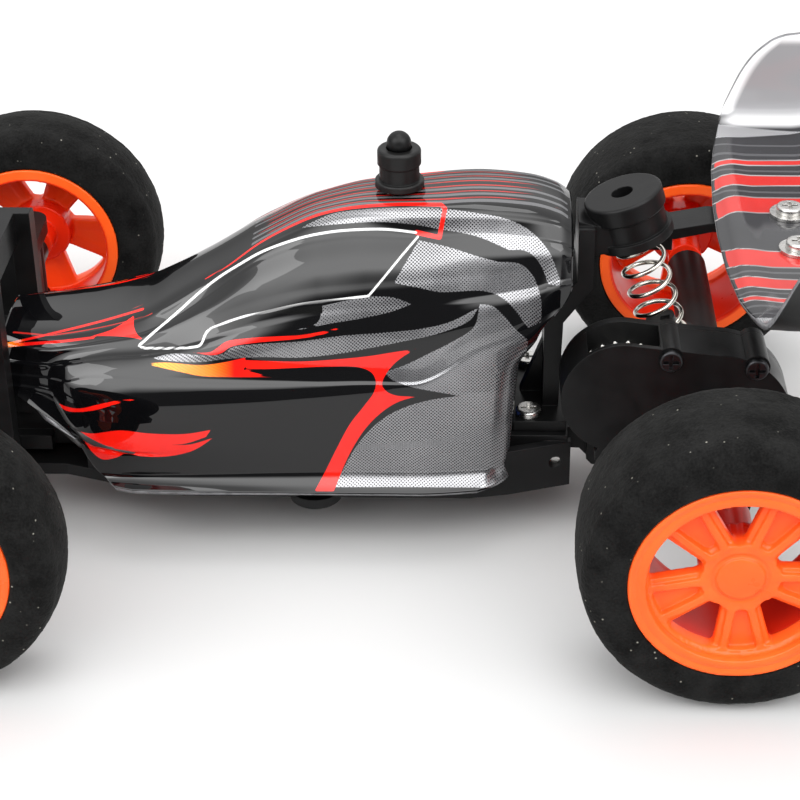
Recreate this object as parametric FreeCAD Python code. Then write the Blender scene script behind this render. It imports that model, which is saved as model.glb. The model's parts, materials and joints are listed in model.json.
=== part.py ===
import FreeCAD, Part
import os
import math

# A small electric buggy, about 1:32 scale. Millimetres.
# +X forward, +Y to the driver's left, +Z up. The origin is on the ground under the middle of the
# wheelbase. The car rests on its four tyres.

os.makedirs("parts", exist_ok=True)
V = FreeCAD.Vector

# ---------------------------------------------------------------- driving dimensions
TYRE_R = 18.5            # tyre outer radius (37 mm wheels)
BORE_R = 11.65           # tyre bore, sits on the rim barrel
HALF_BASE = 47.8         # half of the wheelbase
AXLE_Z = TYRE_R
REAR_OUT = 47.2          # outer face of the rear tyres, from the centre plane
REAR_W = 15.5            # rear tyre width
FRONT_OUT = 46.7         # outer face of the front tyres
FRONT_W = 11.2           # front tyre width
LIP_R = 12.8             # rim lip radius
SHOULDER = 2.5           # tyre shoulder radius
FLOOR_Z0, FLOOR_Z1 = 7.5, 9.1    # chassis floor plate
HALF_LENGTH = 69.0       # bumper front and wing trailing edge
KINGPIN_Y = 30.0
STEER_ARM = 9.0          # kingpin to link pin, along X
MODULE = 0.5             # gear module
PRESS_A = math.radians(25.0)     # pressure angle
Z_AXLE, Z_SMALL, Z_LARGE, Z_PINION = 32, 16, 24, 12      # teeth
SHAFT_R = 1.0            # rear axle radius
SPRING_TILT = math.radians(17.6)
REAR_SPRING = 18.4       # length of the rear spring at rest
SHELL_T = 0.7            # body shell wall

SHAPES = {}


def put(name, shape):
    SHAPES[name] = shape


# ---------------------------------------------------------------- helpers
def box(x0, x1, y0, y1, z0, z1):
    return Part.makeBox(x1 - x0, y1 - y0, z1 - z0, V(x0, y0, z0))


def cyl(p, d, r, h):
    return Part.makeCylinder(r, h, V(*p), V(*d))


def fuse(*s):
    out = s[0]
    for t in s[1:]:
        out = out.fuse(t)
    return out.removeSplitter()


def cut(a, *s):
    for t in s:
        a = a.cut(t)
    return a


def prism_xz(pts, y0, y1):
    """Closed XZ outline, extruded along Y."""
    w = Part.makePolygon([V(x, y0, z) for x, z in pts] + [V(pts[0][0], y0, pts[0][1])])
    return Part.Face(w).extrude(V(0, y1 - y0, 0))


def prism_xy(pts, z0, z1):
    w = Part.makePolygon([V(x, y, z0) for x, y in pts] + [V(pts[0][0], pts[0][1], z0)])
    return Part.Face(w).extrude(V(0, 0, z1 - z0))


def prism_yz(pts, x0, x1):
    w = Part.makePolygon([V(x0, y, z) for y, z in pts] + [V(x0, pts[0][0], pts[0][1])])
    return Part.Face(w).extrude(V(x1 - x0, 0, 0))


def mirror_y(s):
    return s.mirror(V(0, 0, 0), V(0, 1, 0))


def round_edges(s, r, pick):
    """Fillet the edges that pick() accepts; keep the plain solid if that can't be done."""
    es = [e for e in s.Edges if pick(e)]
    try:
        f = s.makeFillet(r, es)
        if f.isValid() and f.Volume > 0.5 * s.Volume:
            return f
    except Exception:
        pass
    return s


def vertical(e):
    a, b = e.Vertexes[0].Point, e.Vertexes[-1].Point
    return len(e.Vertexes) == 2 and abs(a.x - b.x) < 1e-6 and abs(a.y - b.y) < 1e-6 and abs(a.z - b.z) > 0.5


def along_y(e):
    a, b = e.Vertexes[0].Point, e.Vertexes[-1].Point
    return len(e.Vertexes) == 2 and abs(a.x - b.x) < 1e-6 and abs(a.z - b.z) < 1e-6 and abs(a.y - b.y) > 0.5


def screw(x, y, ztop, zend, r=0.9, head=1.7, up=True):
    """Cross-recess screw along Z, head at ztop."""
    s = 1 if up else -1
    h = cyl((x, y, ztop - s * 0.9), (0, 0, s), head, 0.9)
    h = round_edges(h, 0.35, lambda e: len(e.Vertexes) == 1 and abs(e.Vertexes[0].Z - ztop) < 1e-6)
    lo, hi = sorted((zend, ztop - s * 0.85))
    b = cyl((x, y, lo), (0, 0, 1), r, hi - lo)
    g = 0.45
    lo, hi = sorted((ztop - s * 0.5, ztop + s * 0.1))
    a = box(x - 1.0, x + 1.0, y - g / 2, y + g / 2, lo, hi)
    c = box(x - g / 2, x + g / 2, y - 1.0, y + 1.0, lo, hi)
    return h.fuse(b).cut(a).cut(c)


def spring(top, d, length, r, wire, turns):
    """Helical wire, from its top point along d."""
    pitch = (length - wire) / turns
    h = Part.makeLongHelix(pitch, pitch * turns, r)
    c = Part.Wire(Part.makeCircle(wire / 2, V(r, 0, 0), V(0, r, pitch / (2 * math.pi))))
    s = Part.Wire(h).makePipeShell([c], True, True)
    rot = FreeCAD.Rotation(V(0, 0, 1), V(-d[0], -d[1], -d[2]))
    end = V(top[0] + d[0] * (length - wire / 2), top[1] + d[1] * (length - wire / 2), top[2] + d[2] * (length - wire / 2))
    s.Placement = FreeCAD.Placement(end, rot)
    return s


# ---------------------------------------------------------------- gears
def gear(z, centre, phase, y0, y1, thin=0.05, bore=None, ha=0.92, hf=1.2):
    """Involute spur gear with its axis along Y, one tooth centred at angle phase in the XZ plane."""
    rp = MODULE * z / 2.0
    rb = rp * math.cos(PRESS_A)
    ra = rp + ha * MODULE
    rf = rp - hf * MODULE
    inv = lambda a: math.tan(a) - a
    half = math.pi / (2 * z) - thin / rp / 1.0 + inv(PRESS_A)
    pts = []
    r0 = max(rb, rf)
    n = 7
    for k in range(z):
        c = phase + 2 * math.pi * k / z
        flank = []
        for i in range(n):
            r = r0 + (ra - r0) * i / (n - 1)
            a = math.acos(min(1.0, rb / r))
            flank.append((r, half - inv(a)))
        pts.append((rf, c - flank[0][1] - 0.01))
        for r, h in flank:
            pts.append((r, c - h))
        for r, h in reversed(flank):
            pts.append((r, c + h))
        pts.append((rf, c + flank[0][1] + 0.01))
    xz = [(centre[0] + r * math.cos(a), centre[1] + r * math.sin(a)) for r, a in pts]
    g = prism_xz(xz, y0, y1)
    if bore:
        g = g.cut(cyl((centre[0], y0 - 1, centre[1]), (0, 1, 0), bore, y1 - y0 + 2))
    return g


# ---------------------------------------------------------------- wheels
def rim(cx, out, width):
    """Left-hand rim, outer face at Y = out: its ring and its spoked centre. The centre of the wheel is at (cx, AXLE_Z)."""
    inn = out - width
    A = (cx, AXLE_Z)

    def ring(ro, ri, y0, y1):
        s = cyl((cx, y0, AXLE_Z), (0, 1, 0), ro, y1 - y0)
        return s.cut(cyl((cx, y0 - 1, AXLE_Z), (0, 1, 0), ri, y1 - y0 + 2)) if ri else s

    barrel = ring(BORE_R - 0.03, BORE_R - 0.9, inn + 0.3, out)
    lip = ring(LIP_R, BORE_R - 0.9, out - 0.9, out)
    lip = lip.cut(Part.makeCone(BORE_R - 0.9, LIP_R - 0.7, 0.9, V(cx, out - 0.9, AXLE_Z), V(0, 1, 0)))
    flange = ring(LIP_R - 0.4, BORE_R - 0.9, inn + 0.05, inn + 0.75)
    y_face = out - 2.2            # spoke face
    disc = ring(BORE_R - 0.9, 0, y_face - 1.9, y_face - 0.2)
    for k in range(5):
        a = math.radians(95 + 72 * k)
        pts = []
        # rounded trapezoid window between two spokes
        for r, w in ((4.9, 1.1), (6.2, 1.75), (8.6, 2.7), (10.0, 3.0), (10.35, 2.4), (10.5, 0.0)):
            pts.append((r, w))
        ring_pts = [(r, w) for r, w in pts] + [(r, -w) for r, w in reversed(pts[:-1])]
        ring_pts += [(4.5, -0.5), (4.5, 0.5)]
        xz = [(cx - (r * math.cos(a) - w * math.sin(a)), AXLE_Z + (r * math.sin(a) + w * math.cos(a))) for r, w in ring_pts]
        disc = disc.cut(prism_xz(xz, y_face - 4, y_face + 1))
        # recessed web between the two ribs of a spoke
        b = math.radians(95 + 36 + 72 * k)
        rp = [(5.6, 0.45), (6.2, 0.85), (10.3, 1.65), (10.3, -1.65), (6.2, -0.85), (5.6, -0.45)]
        xz = [(cx - (r * math.cos(b) - w * math.sin(b)), AXLE_Z + (r * math.sin(b) + w * math.cos(b))) for r, w in rp]
        disc = disc.cut(prism_xz(xz, y_face - 0.95, y_face + 1))
    hub = ring(4.0, 0, y_face - 3.0, y_face + 0.1)
    cap = ring(2.9, 0, y_face, y_face + 0.55)
    sleeve = ring(2.4, 0, inn + 1.2, y_face - 1)
    centre = fuse(disc, hub, cap, sleeve)
    return fuse(barrel, lip, flange), centre.cut(cyl((cx, inn, AXLE_Z), (0, 1, 0), SHAFT_R, width - 3.2))


def tyre(cx, out, width):
    """Foam tyre: domed tread, round shoulders."""
    i, o = out - width, out
    R, s, b = TYRE_R, SHOULDER, BORE_R
    drop = 0.45                       # the tread falls towards the shoulders
    m = (i + o) / 2
    k = s * (1 - math.sqrt(0.5))
    P = lambda y, r: V(cx, y, AXLE_Z + r)
    e = [
        Part.LineSegment(P(i + 0.8, b), P(o - 0.95, b)),
        Part.LineSegment(P(o - 0.95, b), P(o - 0.95, LIP_R + 0.03)),
        Part.LineSegment(P(o - 0.95, LIP_R + 0.03), P(o, LIP_R + 0.03)),
        Part.LineSegment(P(o, LIP_R + 0.03), P(o, R - drop - s)),
        Part.Arc(P(o, R - drop - s), P(o - k, R - drop - k), P(o - s, R - drop)),
        Part.Arc(P(o - s, R - drop), P(m, R), P(i + s, R - drop)),
        Part.Arc(P(i + s, R - drop), P(i + k, R - drop - k), P(i, R - drop - s)),
        Part.LineSegment(P(i, R - drop - s), P(i, LIP_R - 0.35)),
        Part.LineSegment(P(i, LIP_R - 0.35), P(i + 0.8, LIP_R - 0.35)),
        Part.LineSegment(P(i + 0.8, LIP_R - 0.35), P(i + 0.8, b)),
    ]
    f = Part.Face(Part.Wire([x.toShape() for x in e]))
    return f.revolve(V(cx, 0, AXLE_Z), V(0, 1, 0), 360)


for nm, x, out, w in (("rear_left", -HALF_BASE, REAR_OUT, REAR_W), ("front_left", HALF_BASE, FRONT_OUT, FRONT_W)):
    (r, rc), t = rim(x, out, w), tyre(x, out, w)
    put(nm + "_rim", r)
    put(nm + "_rim_centre", rc)
    put(nm + "_tyre", t)
    other = nm.replace("left", "right")
    put(other + "_rim", mirror_y(r))
    put(other + "_rim_centre", mirror_y(rc))
    put(other + "_tyre", mirror_y(t))

# ---------------------------------------------------------------- body shell
# Half sections from nose to tail: X, then (Y, Z) from the crown down to the lower edge.
SECT = [
    (43.2, [(0, 27.4), (4.6, 27.0), (5.6, 26.5), (6.6, 24.6), (7.4, 22.8), (7.9, 21.6), (8.0, 20.2)]),
    (37.0, [(0, 27.8), (5.6, 27.4), (7.3, 26.6), (8.2, 24.8), (9.0, 23.2), (9.7, 21.8), (9.9, 19.6)]),
    (34.0, [(0, 28.2), (5.8, 27.8), (7.5, 27.0), (8.8, 25.4), (10.9, 24.2), (12.3, 22.2), (12.5, 12.0)]),
    (31.0, [(0, 28.8), (5.8, 28.4), (7.6, 27.6), (9.2, 26.0), (12.2, 25.2), (13.6, 23.2), (13.9, 10.0)]),
    (28.0, [(0, 29.6), (5.8, 29.2), (7.6, 28.2), (9.4, 26.6), (13.0, 25.6), (14.2, 23.9), (14.6, 10.0)]),
    (25.0, [(0, 30.8), (5.6, 30.2), (7.5, 28.9), (9.5, 27.0), (13.3, 25.8), (14.5, 24.0), (14.9, 10.0)]),
    (21.5, [(0, 32.8), (5.2, 32.0), (6.9, 30.2), (9.5, 28.0), (13.6, 25.8), (14.7, 24.0), (15.0, 10.0)]),
    (17.0, [(0, 35.4), (4.6, 34.7), (6.2, 33.0), (9.6, 29.6), (13.8, 25.8), (14.8, 24.0), (15.1, 10.0)]),
    (9.0, [(0, 40.1), (4.2, 39.7), (6.0, 38.9), (10.4, 32.9), (13.9, 25.8), (14.9, 24.0), (15.1, 10.0)]),
    (2.0, [(0, 43.5), (4.0, 43.2), (6.0, 41.6), (11.0, 34.8), (14.0, 25.6), (14.9, 24.0), (15.1, 10.0)]),
    (-4.0, [(0, 44.9), (4.6, 44.6), (6.2, 42.4), (11.3, 35.6), (14.1, 25.4), (15.0, 23.8), (15.1, 10.0)]),
    (-10.0, [(0, 45.4), (5.4, 45.0), (6.6, 42.4), (11.3, 36.2), (14.1, 26.2), (15.0, 24.0), (15.1, 10.0)]),
    (-18.0, [(0, 46.0), (5.9, 45.4), (7.2, 43.2), (11.0, 37.0), (13.6, 31.0), (14.3, 27.0), (14.3, 10.0)]),
    (-24.0, [(0, 45.6), (5.8, 44.9), (7.2, 42.8), (10.2, 37.6), (12.4, 33.0), (13.2, 29.0), (13.2, 10.0)]),
    (-28.0, [(0, 44.4), (5.4, 43.8), (6.8, 42.0), (9.0, 38.2), (10.6, 35.0), (11.4, 32.0), (11.6, 10.0)]),
    (-29.6, [(0, 43.2), (5.0, 42.6), (6.4, 41.0), (8.2, 38.0), (9.6, 35.0), (10.4, 32.0), (10.6, 10.0)]),
]
SIDE_REAR = [(-29.6, 46), (-29.6, 36.4), (-28.8, 34.6), (-27.0, 33.2), (-25.6, 31.4), (-24.7, 28.6), (-24.0, 24.0),
             (-23.5, 17.0), (-23.2, 13.0), (-22.0, 9.9)]
SIDE_FRONT = [(43.2, 20.2), (38.6, 19.9), (36.6, 19.6), (35.2, 18.2), (33.6, 16.4), (31.4, 12.4), (30.2, 11.0), (28.3, 10.0)]


def poly_section(x, half, grow=0.0, low=None):
    """Closed section wire at X; grow < 0 moves the wall inwards."""
    pts = [(y, z) for y, z in half]
    full = [(-y, z) for y, z in reversed(pts[1:])] + pts
    if grow:
        out = []
        n = len(full)
        for i, (y, z) in enumerate(full):
            a = full[max(0, i - 1)]
            b = full[min(n - 1, i + 1)]
            ty, tz = b[0] - a[0], b[1] - a[1]
            ln = math.hypot(ty, tz)
            ny, nz = tz / ln, -ty / ln      # inward normal for a left-to-right outline over the top
            out.append((y + ny * -grow, z + nz * -grow))
        full = out
    if low is not None:
        full = [(full[0][0], low)] + full + [(full[-1][0], low)]
    p = [V(x, y, z) for y, z in full]
    return Part.makePolygon(p + [p[0]])


def shell_solid(grow, low, extend=0.0):
    ws = []
    for i, (x, half) in enumerate(SECT):
        xx = x + extend if i == 0 else (x - extend if i == len(SECT) - 1 else x)
        ws.append(poly_section(xx, half, grow, low))
    return Part.makeLoft(ws, True, True)


outer = shell_solid(0.0, 8.0)
inner = shell_solid(-SHELL_T, 6.0, extend=2.0)
body = outer.cut(inner)
rear_cut = prism_xz([(-45, 60), (-29.6, 60)] + SIDE_REAR + [(-22.0, 5), (-45, 5)], -40, 40)
front_cut = prism_xz(SIDE_FRONT + [(28.3, 5), (60, 5), (60, 20.2)], -40, 40)
floor_cut = box(-60, 60, -40, 40, 0, 10.0)
body = body.cut(rear_cut).cut(front_cut).cut(floor_cut)
POST_X = -8.0
body = body.cut(cyl((POST_X, 0, 30), (0, 0, 1), 1.9, 30))
if body.ShapeType == "Compound":
    body = max(body.Solids, key=lambda s: s.Volume)
put("body_shell", body)

# ---------------------------------------------------------------- body post and clip
post = fuse(
    cyl((POST_X, 0, FLOOR_Z1), (0, 0, 1), 2.6, 43.4 - FLOOR_Z1),
    cyl((POST_X, 0, 43.0), (0, 0, 1), 1.25, 8.4),
    Part.makeSphere(1.55, V(POST_X, 0, 51.35)),
)
put("body_post", post)
CLIP_Z = 45.75
p = lambda r, z: V(POST_X + r, 0, CLIP_Z + z)
clip_e = [
    Part.LineSegment(p(1.62, 0), p(3.1, 0)), Part.LineSegment(p(3.1, 0), p(3.1, 0.6)),
    Part.Arc(p(3.1, 0.6), p(3.02, 0.78), p(2.85, 0.85)), Part.LineSegment(p(2.85, 0.85), p(2.55, 0.85)),
    Part.LineSegment(p(2.55, 0.85), p(2.5, 2.75)), Part.LineSegment(p(2.5, 2.75), p(2.75, 2.95)),
    Part.LineSegment(p(2.75, 2.95), p(2.75, 4.55)), Part.Arc(p(2.75, 4.55), p(2.62, 4.86), p(2.3, 5.0)),
    Part.LineSegment(p(2.3, 5.0), p(1.62, 5.0)), Part.LineSegment(p(1.62, 5.0), p(1.62, 0)),
]
put("body_clip", Part.Face(Part.Wire([e.toShape() for e in clip_e])).revolve(V(POST_X, 0, 0), V(0, 0, 1), 360))

# ---------------------------------------------------------------- chassis tub
half = [(-30, 9.8), (-22, 12.4), (-17, 13.4), (20, 13.4), (26, 12.2), (30, 10.6), (36, 8.6), (41.2, 8.6),
        (41.5, 12.2), (44.5, 12.2), (44.9, 7.4), (60.5, 7.4)]
outline = half + [(x, -y) for x, y in reversed(half)]
floor = prism_xy(outline, FLOOR_Z0, FLOOR_Z1)
wall_out = [(-30, 9.8), (-22, 12.4), (-17, 13.4), (20, 13.4), (26, 12.2), (30, 10.6), (33, 9.4)]
wall_in = [(-31, 8.4), (-22, 11.0), (-17, 12.0), (20, 12.0), (26, 10.8), (30, 9.2), (34, 7.6)]
wo = prism_xy(wall_out + [(x, -y) for x, y in reversed(wall_out)], FLOOR_Z1 - 0.1, 14.0)
wi = prism_xy(wall_in + [(x, -y) for x, y in reversed(wall_in)], FLOOR_Z1 - 0.2, 15.0)
walls = wo.cut(wi)
# closed bay for the battery, with a rear bulkhead and a front bulkhead
bay_rear = box(-20.6, -19.2, -12.2, 12.2, FLOOR_Z1 - 0.1, 14.0)
bay_front = box(17.8, 19.2, -12.6, 12.6, FLOOR_Z1 - 0.1, 14.0)
deck = box(-29.6, -21.0, -9.6, 9.6, 13.2, 14.8)        # carries the rear tower
deck = deck.fuse(box(-22.2, -21.0, -11.0, 11.0, FLOOR_Z1 - 0.1, 14.0))
tub = fuse(floor, walls, bay_rear, bay_front, deck)
post_foot = cyl((POST_X, 0, FLOOR_Z1 - 0.1), (0, 0, 1), 3.6, 1.7)
boss = cyl((3.0, 11.0, 6.3), (0, 0, 1), 3.4, 1.3)
boss = boss.fuse(Part.makeSphere(5.2, V(3.0, 11.0, 10.2)).common(cyl((3, 11, 4.6), (0, 0, 1), 3.4, 2.2)))
tub = tub.fuse(boss).fuse(mirror_y(boss))
# battery opening in the floor, switch slot, pivot holes, screw holes
tub = tub.cut(box(-17.5, 0.5, -8.6, 8.6, 7.0, 9.2))
REAR_PIVOT = (-28.0, 11.3)
FRONT_PIVOT = (26.0, 11.8)
tub = tub.cut(cyl((REAR_PIVOT[0], -20, REAR_PIVOT[1]), (0, 1, 0), 0.8, 40))
tub = tub.cut(cyl((FRONT_PIVOT[0], -20, FRONT_PIVOT[1]), (0, 1, 0), 0.8, 40))
FT_SCREW = [(43.0, 10.8), (43.0, -10.8)]
RT_SCREW = [(-24.6, 6.6), (-24.6, -6.6)]
BUMP_SCREW = [(57.5, 4.6), (57.5, -4.6)]
for x, y in FT_SCREW + BUMP_SCREW:
    tub = tub.cut(cyl((x, y, 5), (0, 0, 1), 0.95, 5)).cut(cyl((x, y, 5), (0, 0, 1), 1.8, 3.5))
for x, y in RT_SCREW:
    tub = tub.cut(cyl((x, y, 12), (0, 0, 1), 0.9, 5))
tub = tub.cut(box(6.2, 11.8, -3.2, 3.2, 7.0, 9.2))      # switch opening
tub = tub.cut(box(14.0, 16.8, -3.8, 3.8, 7.0, 9.2))     # charge socket opening
put("chassis_tub", tub.removeSplitter())

# battery pack, door and its screw
left_cell = round_edges(box(-17.4, 3.4, 4.4, 11.4, 9.3, 19.4), 2.6, lambda e: e.BoundBox.XLength > 15)
right_cell = mirror_y(left_cell)
put("battery_pack", Part.makeCompound([left_cell, right_cell]))
door = round_edges(box(-17.4, 0.4, -8.5, 8.5, 7.5, 9.0), 1.2, vertical)
door = door.cut(box(-30, -17.0, -20, 20, 8.2, 9.4))
door = door.cut(cyl((-2.6, 0, 5), (0, 0, 1), 0.95, 6)).cut(cyl((-2.6, 0, 5), (0, 0, 1), 1.8, 3.45))
put("battery_door", door)
put("body_post", SHAPES["body_post"].fuse(post_foot.cut(box(-20, 0, -5, 5, 0, FLOOR_Z1))).removeSplitter())
put("door_screw", screw(-2.6, 0, 7.55, 9.05, up=False))

# circuit board stands over the cells' front end, parts on top
put("circuit_board", box(4.4, 17.4, -9.5, 9.5, 12.4, 13.4))
parts = [
    box(6.0, 11.0, -6.5, -2.0, 13.4, 14.9),
    box(8.0, 11.5, 0.5, 5.0, 13.4, 14.6),
    cyl((14.4, -5.0, 13.4), (0, 0, 1), 2.0, 5.0),
    cyl((14.6, 5.2, 13.4), (0, 0, 1), 1.5, 4.0),
    box(5.2, 7.2, 6.0, 9.0, 13.4, 16.6),
]
put("board_parts", Part.makeCompound(parts))

# power switch under the board, its knob comes through the floor
sw = box(4.6, 13.4, -4.4, 4.4, 9.15, 12.1).cut(box(6.2, 11.8, -2.4, 2.4, 9.0, 11.0))
put("power_switch", sw)
knob = fuse(box(6.5, 9.1, -2.0, 2.0, 8.0, 10.8), box(6.9, 8.7, -1.4, 1.4, 6.9, 8.1))
knob = cut(knob, *[box(7.1 + 0.55 * i, 7.3 + 0.55 * i, -2, 2, 6.5, 7.15) for i in range(3)])
put("switch_knob", knob)
put("charge_socket", cut(box(13.6, 17.2, -4.6, 4.6, 9.15, 12.2), box(14.4, 16.4, -3.4, 3.4, 8.0, 11.4)))

# ---------------------------------------------------------------- towers
# rear tower: a plate behind the shell tail, with a round spring cup on an arm
CUP_TOP = (-35.8, 44.8)                       # centre of the cup's top face (X, Z)
SD = (-math.sin(SPRING_TILT), 0.0, -math.cos(SPRING_TILT))    # down along the rear spring


def along(p, d, s):
    return (p[0] + d[0] * s, p[1] + d[1] * s, p[2] + d[2] * s)


def cup(top, d, depth=4.4):
    c = cyl(top, d, 5.0, depth)
    c = round_edges(c, 0.4, lambda e: len(e.Vertexes) == 1)
    return c


c3 = (CUP_TOP[0], 0.0, CUP_TOP[1])
REAR_CUP = 6.4           # depth of the rear cup
rear_cup = fuse(cup(c3, SD, 2.6), cyl(along(c3, SD, 1.0), SD, 4.5, REAR_CUP - 1.0), cyl(along(c3, SD, REAR_CUP - 1.2), SD, 5.0, 1.2))
plate = prism_xz([(-30.4, 41.8), (-32.4, 41.8), (-32.4, 33.6), (-28.8, 28.6), (-28.4, 14.8), (-26.4, 14.8), (-26.4, 29.4),
                  (-30.4, 34.6)], -4.6, 4.6)
foot = box(-29.4, -22.6, -8.6, 8.6, 14.85, 16.3)
arm = prism_xz([(-30.4, 42.4), (-37.0, 40.6), (-37.6, 38.8), (-30.4, 37.2)], -3.6, 3.6)
brace = prism_xz([(-28.4, 16.0), (-28.4, 24.0), (-26.4, 24.0), (-23.4, 16.0)], -0.8, 0.8)
rear_tower = fuse(plate, foot, arm, rear_cup, brace)
# side arm that carries the wing
side_arm = prism_xy([(-30.4, -4.0), (-33.0, -4.0), (-40.4, -5.6), (-43.0, -5.6), (-43.0, -10.6), (-36.0, -10.6), (-30.4, -7.0)],
                    33.9, 35.5)
rear_tower = rear_tower.fuse(side_arm)
rear_tower = rear_tower.cut(cyl(along(c3, SD, -1), SD, 1.4, 12.0))
rear_tower = rear_tower.cut(cyl(along(c3, SD, 3.2), SD, 3.7, 6.0))
for x, y in RT_SCREW:
    rear_tower = rear_tower.cut(cyl((x, y, 14), (0, 0, 1), 0.95, 5))
STAY_SCREW = (-40.2, -8.2)
rear_tower = rear_tower.cut(cyl((STAY_SCREW[0], STAY_SCREW[1], 30), (0, 0, 1), 0.95, 10))
put("rear_tower", max(rear_tower.Solids, key=lambda q: q.Volume).removeSplitter())

# front tower: two legs beside the nose, a cross bar and a round spring cup in front
FD = (math.sin(SPRING_TILT), 0.0, -math.cos(SPRING_TILT))
FCUP = (50.6, 0.0, 37.2)
bar = box(43.7, 46.4, -12.2, 12.2, 32.4, 36.8)
legs = box(41.6, 44.4, 9.4, 12.2, FLOOR_Z1 + 0.02, 36.8)
fcup = cup(FCUP, FD)
farm = prism_xz([(46.0, 36.4), (51.0, 36.4), (52.0, 33.4), (46.0, 32.4)], -3.6, 3.6)
ft = fuse(bar, legs, mirror_y(legs), farm, fcup)
ft = ft.cut(cyl(along(FCUP, FD, -1), FD, 1.4, 8.0)).cut(cyl(along(FCUP, FD, 3.2), FD, 3.7, 3.2))
for x, y in FT_SCREW:
    ft = ft.cut(cyl((x, y, 8), (0, 0, 1), 0.9, 6))
put("front_tower", round_edges(ft.removeSplitter(), 1.2, lambda e: e.BoundBox.XLength > 2.5 and e.BoundBox.YLength < 0.01 and
                               e.BoundBox.ZLength < 0.01 and e.BoundBox.ZMax > 36.7 and abs(e.BoundBox.YMax) > 11))

# front bumper
hb = [(56.0, 7.4), (61.0, 12.0), (64.5, 19.0), (67.0, 19.0), (HALF_LENGTH, 12.0), (HALF_LENGTH, 0)]
bump = prism_xy(hb + [(x, -y) for x, y in reversed(hb[:-1])], 9.15, 11.6)
nose = prism_xy([(64.0, 12.0), (66.6, 12.0), (HALF_LENGTH, 8.0), (HALF_LENGTH, -8.0), (66.6, -12.0), (64.0, -12.0)], 11.5, 15.6)
bump = fuse(bump, nose)
for x, y in BUMP_SCREW:
    bump = bump.cut(cyl((x, y, 8), (0, 0, 1), 0.9, 3.2))
put("front_bumper", round_edges(bump, 0.9, lambda e: vertical(e) and e.BoundBox.XMin > 60))

scr = [screw(x, y, 7.6, 11.1, up=False) for x, y in BUMP_SCREW + FT_SCREW]
put("bumper_and_tower_screws", Part.makeCompound(scr))
put("rear_tower_screws", Part.makeCompound([screw(x, y, 17.25, 12.6) for x, y in RT_SCREW]))

# ---------------------------------------------------------------- wing stay and wing
stay_pts = [(-38.0, 35.55), (-43.2, 35.55), (-48.0, 36.6), (-61.0, 36.6), (-61.0, 37.8), (-47.6, 37.8), (-42.8, 36.9), (-38.0, 36.9)]
stay_arm = prism_xz(stay_pts, -10.6, -5.4)
cross = box(-61.0, -54.6, -10.6, 8.0, 36.6, 37.8)
stay = fuse(stay_arm, cross)
WING_SCREW = [(-57.6, 5.0), (-57.6, -5.0)]
for x, y in WING_SCREW:
    stay = stay.fuse(cyl((x, y, 37.0), (0, 0, 1), 2.0, 1.5))
for x, y in WING_SCREW:
    stay = stay.cut(cyl((x, y, 30), (0, 0, 1), 0.95, 12))
stay = stay.cut(cyl((STAY_SCREW[0], STAY_SCREW[1], 30), (0, 0, 1), 0.95, 10))
put("wing_stay", stay.removeSplitter())
put("stay_screw", screw(STAY_SCREW[0], STAY_SCREW[1], 37.85, 33.4))

# wing: one thin formed sheet; Z of its underside across the span and along the chord
WING_T = 0.8
CH = [(-48.2, 0.9), (-50.5, 0.25), (-54.0, 0.0), (-60.0, 0.0), (-64.0, 0.9), (-67.0, 2.6), (-69.0, 4.4)]      # X, rise


def wing_half():
    """Outline of the sheet in the YZ plane, swept along the chord as ruled pieces."""
    ys = [(0.0, 38.55), (8.0, 38.55), (14.0, 38.75), (20.0, 39.2), (26.0, 40.1), (29.0, 41.2), (30.6, 43.0), (31.1, 45.4), (31.2, 54.6)]
    ws = []
    for x, rise in CH:
        lo, up = [], []
        for y, z in ys:
            t = max(0.0, min(1.0, (y - 20.0) / 10.0))
            lo.append((y, z + rise * (1 - t) + rise * 0.6 * t if y < 31.15 else z))
        full = [(-y, z) for y, z in reversed(lo[1:])] + lo
        n = len(full)
        off = []
        for i, (y, z) in enumerate(full):
            a, b = full[max(0, i - 1)], full[min(n - 1, i + 1)]
            ty, tz = b[0] - a[0], b[1] - a[1]
            ln = math.hypot(ty, tz)
            off.append((y - tz / ln * WING_T, z + ty / ln * WING_T))
        p = [V(x, y, z) for y, z in full] + [V(x, y, z) for y, z in reversed(off)]
        ws.append(Part.makePolygon(p + [p[0]]))
    return Part.makeLoft(ws, True, True)


wing = wing_half()
# leading edge sweeps back towards the tips, end plates have a rounded front top corner
lead = [(-40, -40), (-52.4, -40), (-51.2, -31.8), (-50.2, -26.0), (-49.1, -18.0), (-48.5, -9.0), (-48.3, 0)]
lead = lead + [(x, -y) for x, y in reversed(lead[:-1])]
wing = wing.cut(prism_xy(lead, 30, 60))
ep = [(-47, 60), (-47, 42.2), (-51.0, 42.2), (-52.2, 45.5), (-54.0, 49.4), (-56.4, 52.2), (-59.6, 53.8), (-64.0, 54.2),
      (-70, 54.2), (-70, 60)]
wing = wing.cut(prism_xz(ep, -40, 40))
for x, y in WING_SCREW:
    wing = wing.cut(cyl((x, y, 30), (0, 0, 1), 0.98, 12))
if wing.ShapeType == "Compound":
    wing = max(wing.Solids, key=lambda s: s.Volume)
put("wing", wing)
WZ = 38.55 + WING_T
wash = [cyl((x, y, WZ + 0.02), (0, 0, 1), 2.5, 0.45).cut(cyl((x, y, WZ - 1), (0, 0, 1), 0.98, 3)) for x, y in WING_SCREW]
put("wing_washers", Part.makeCompound(wash))
put("wing_screws", Part.makeCompound([screw(x, y, WZ + 0.48 + 0.9, 35.4) for x, y in WING_SCREW]))

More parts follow.
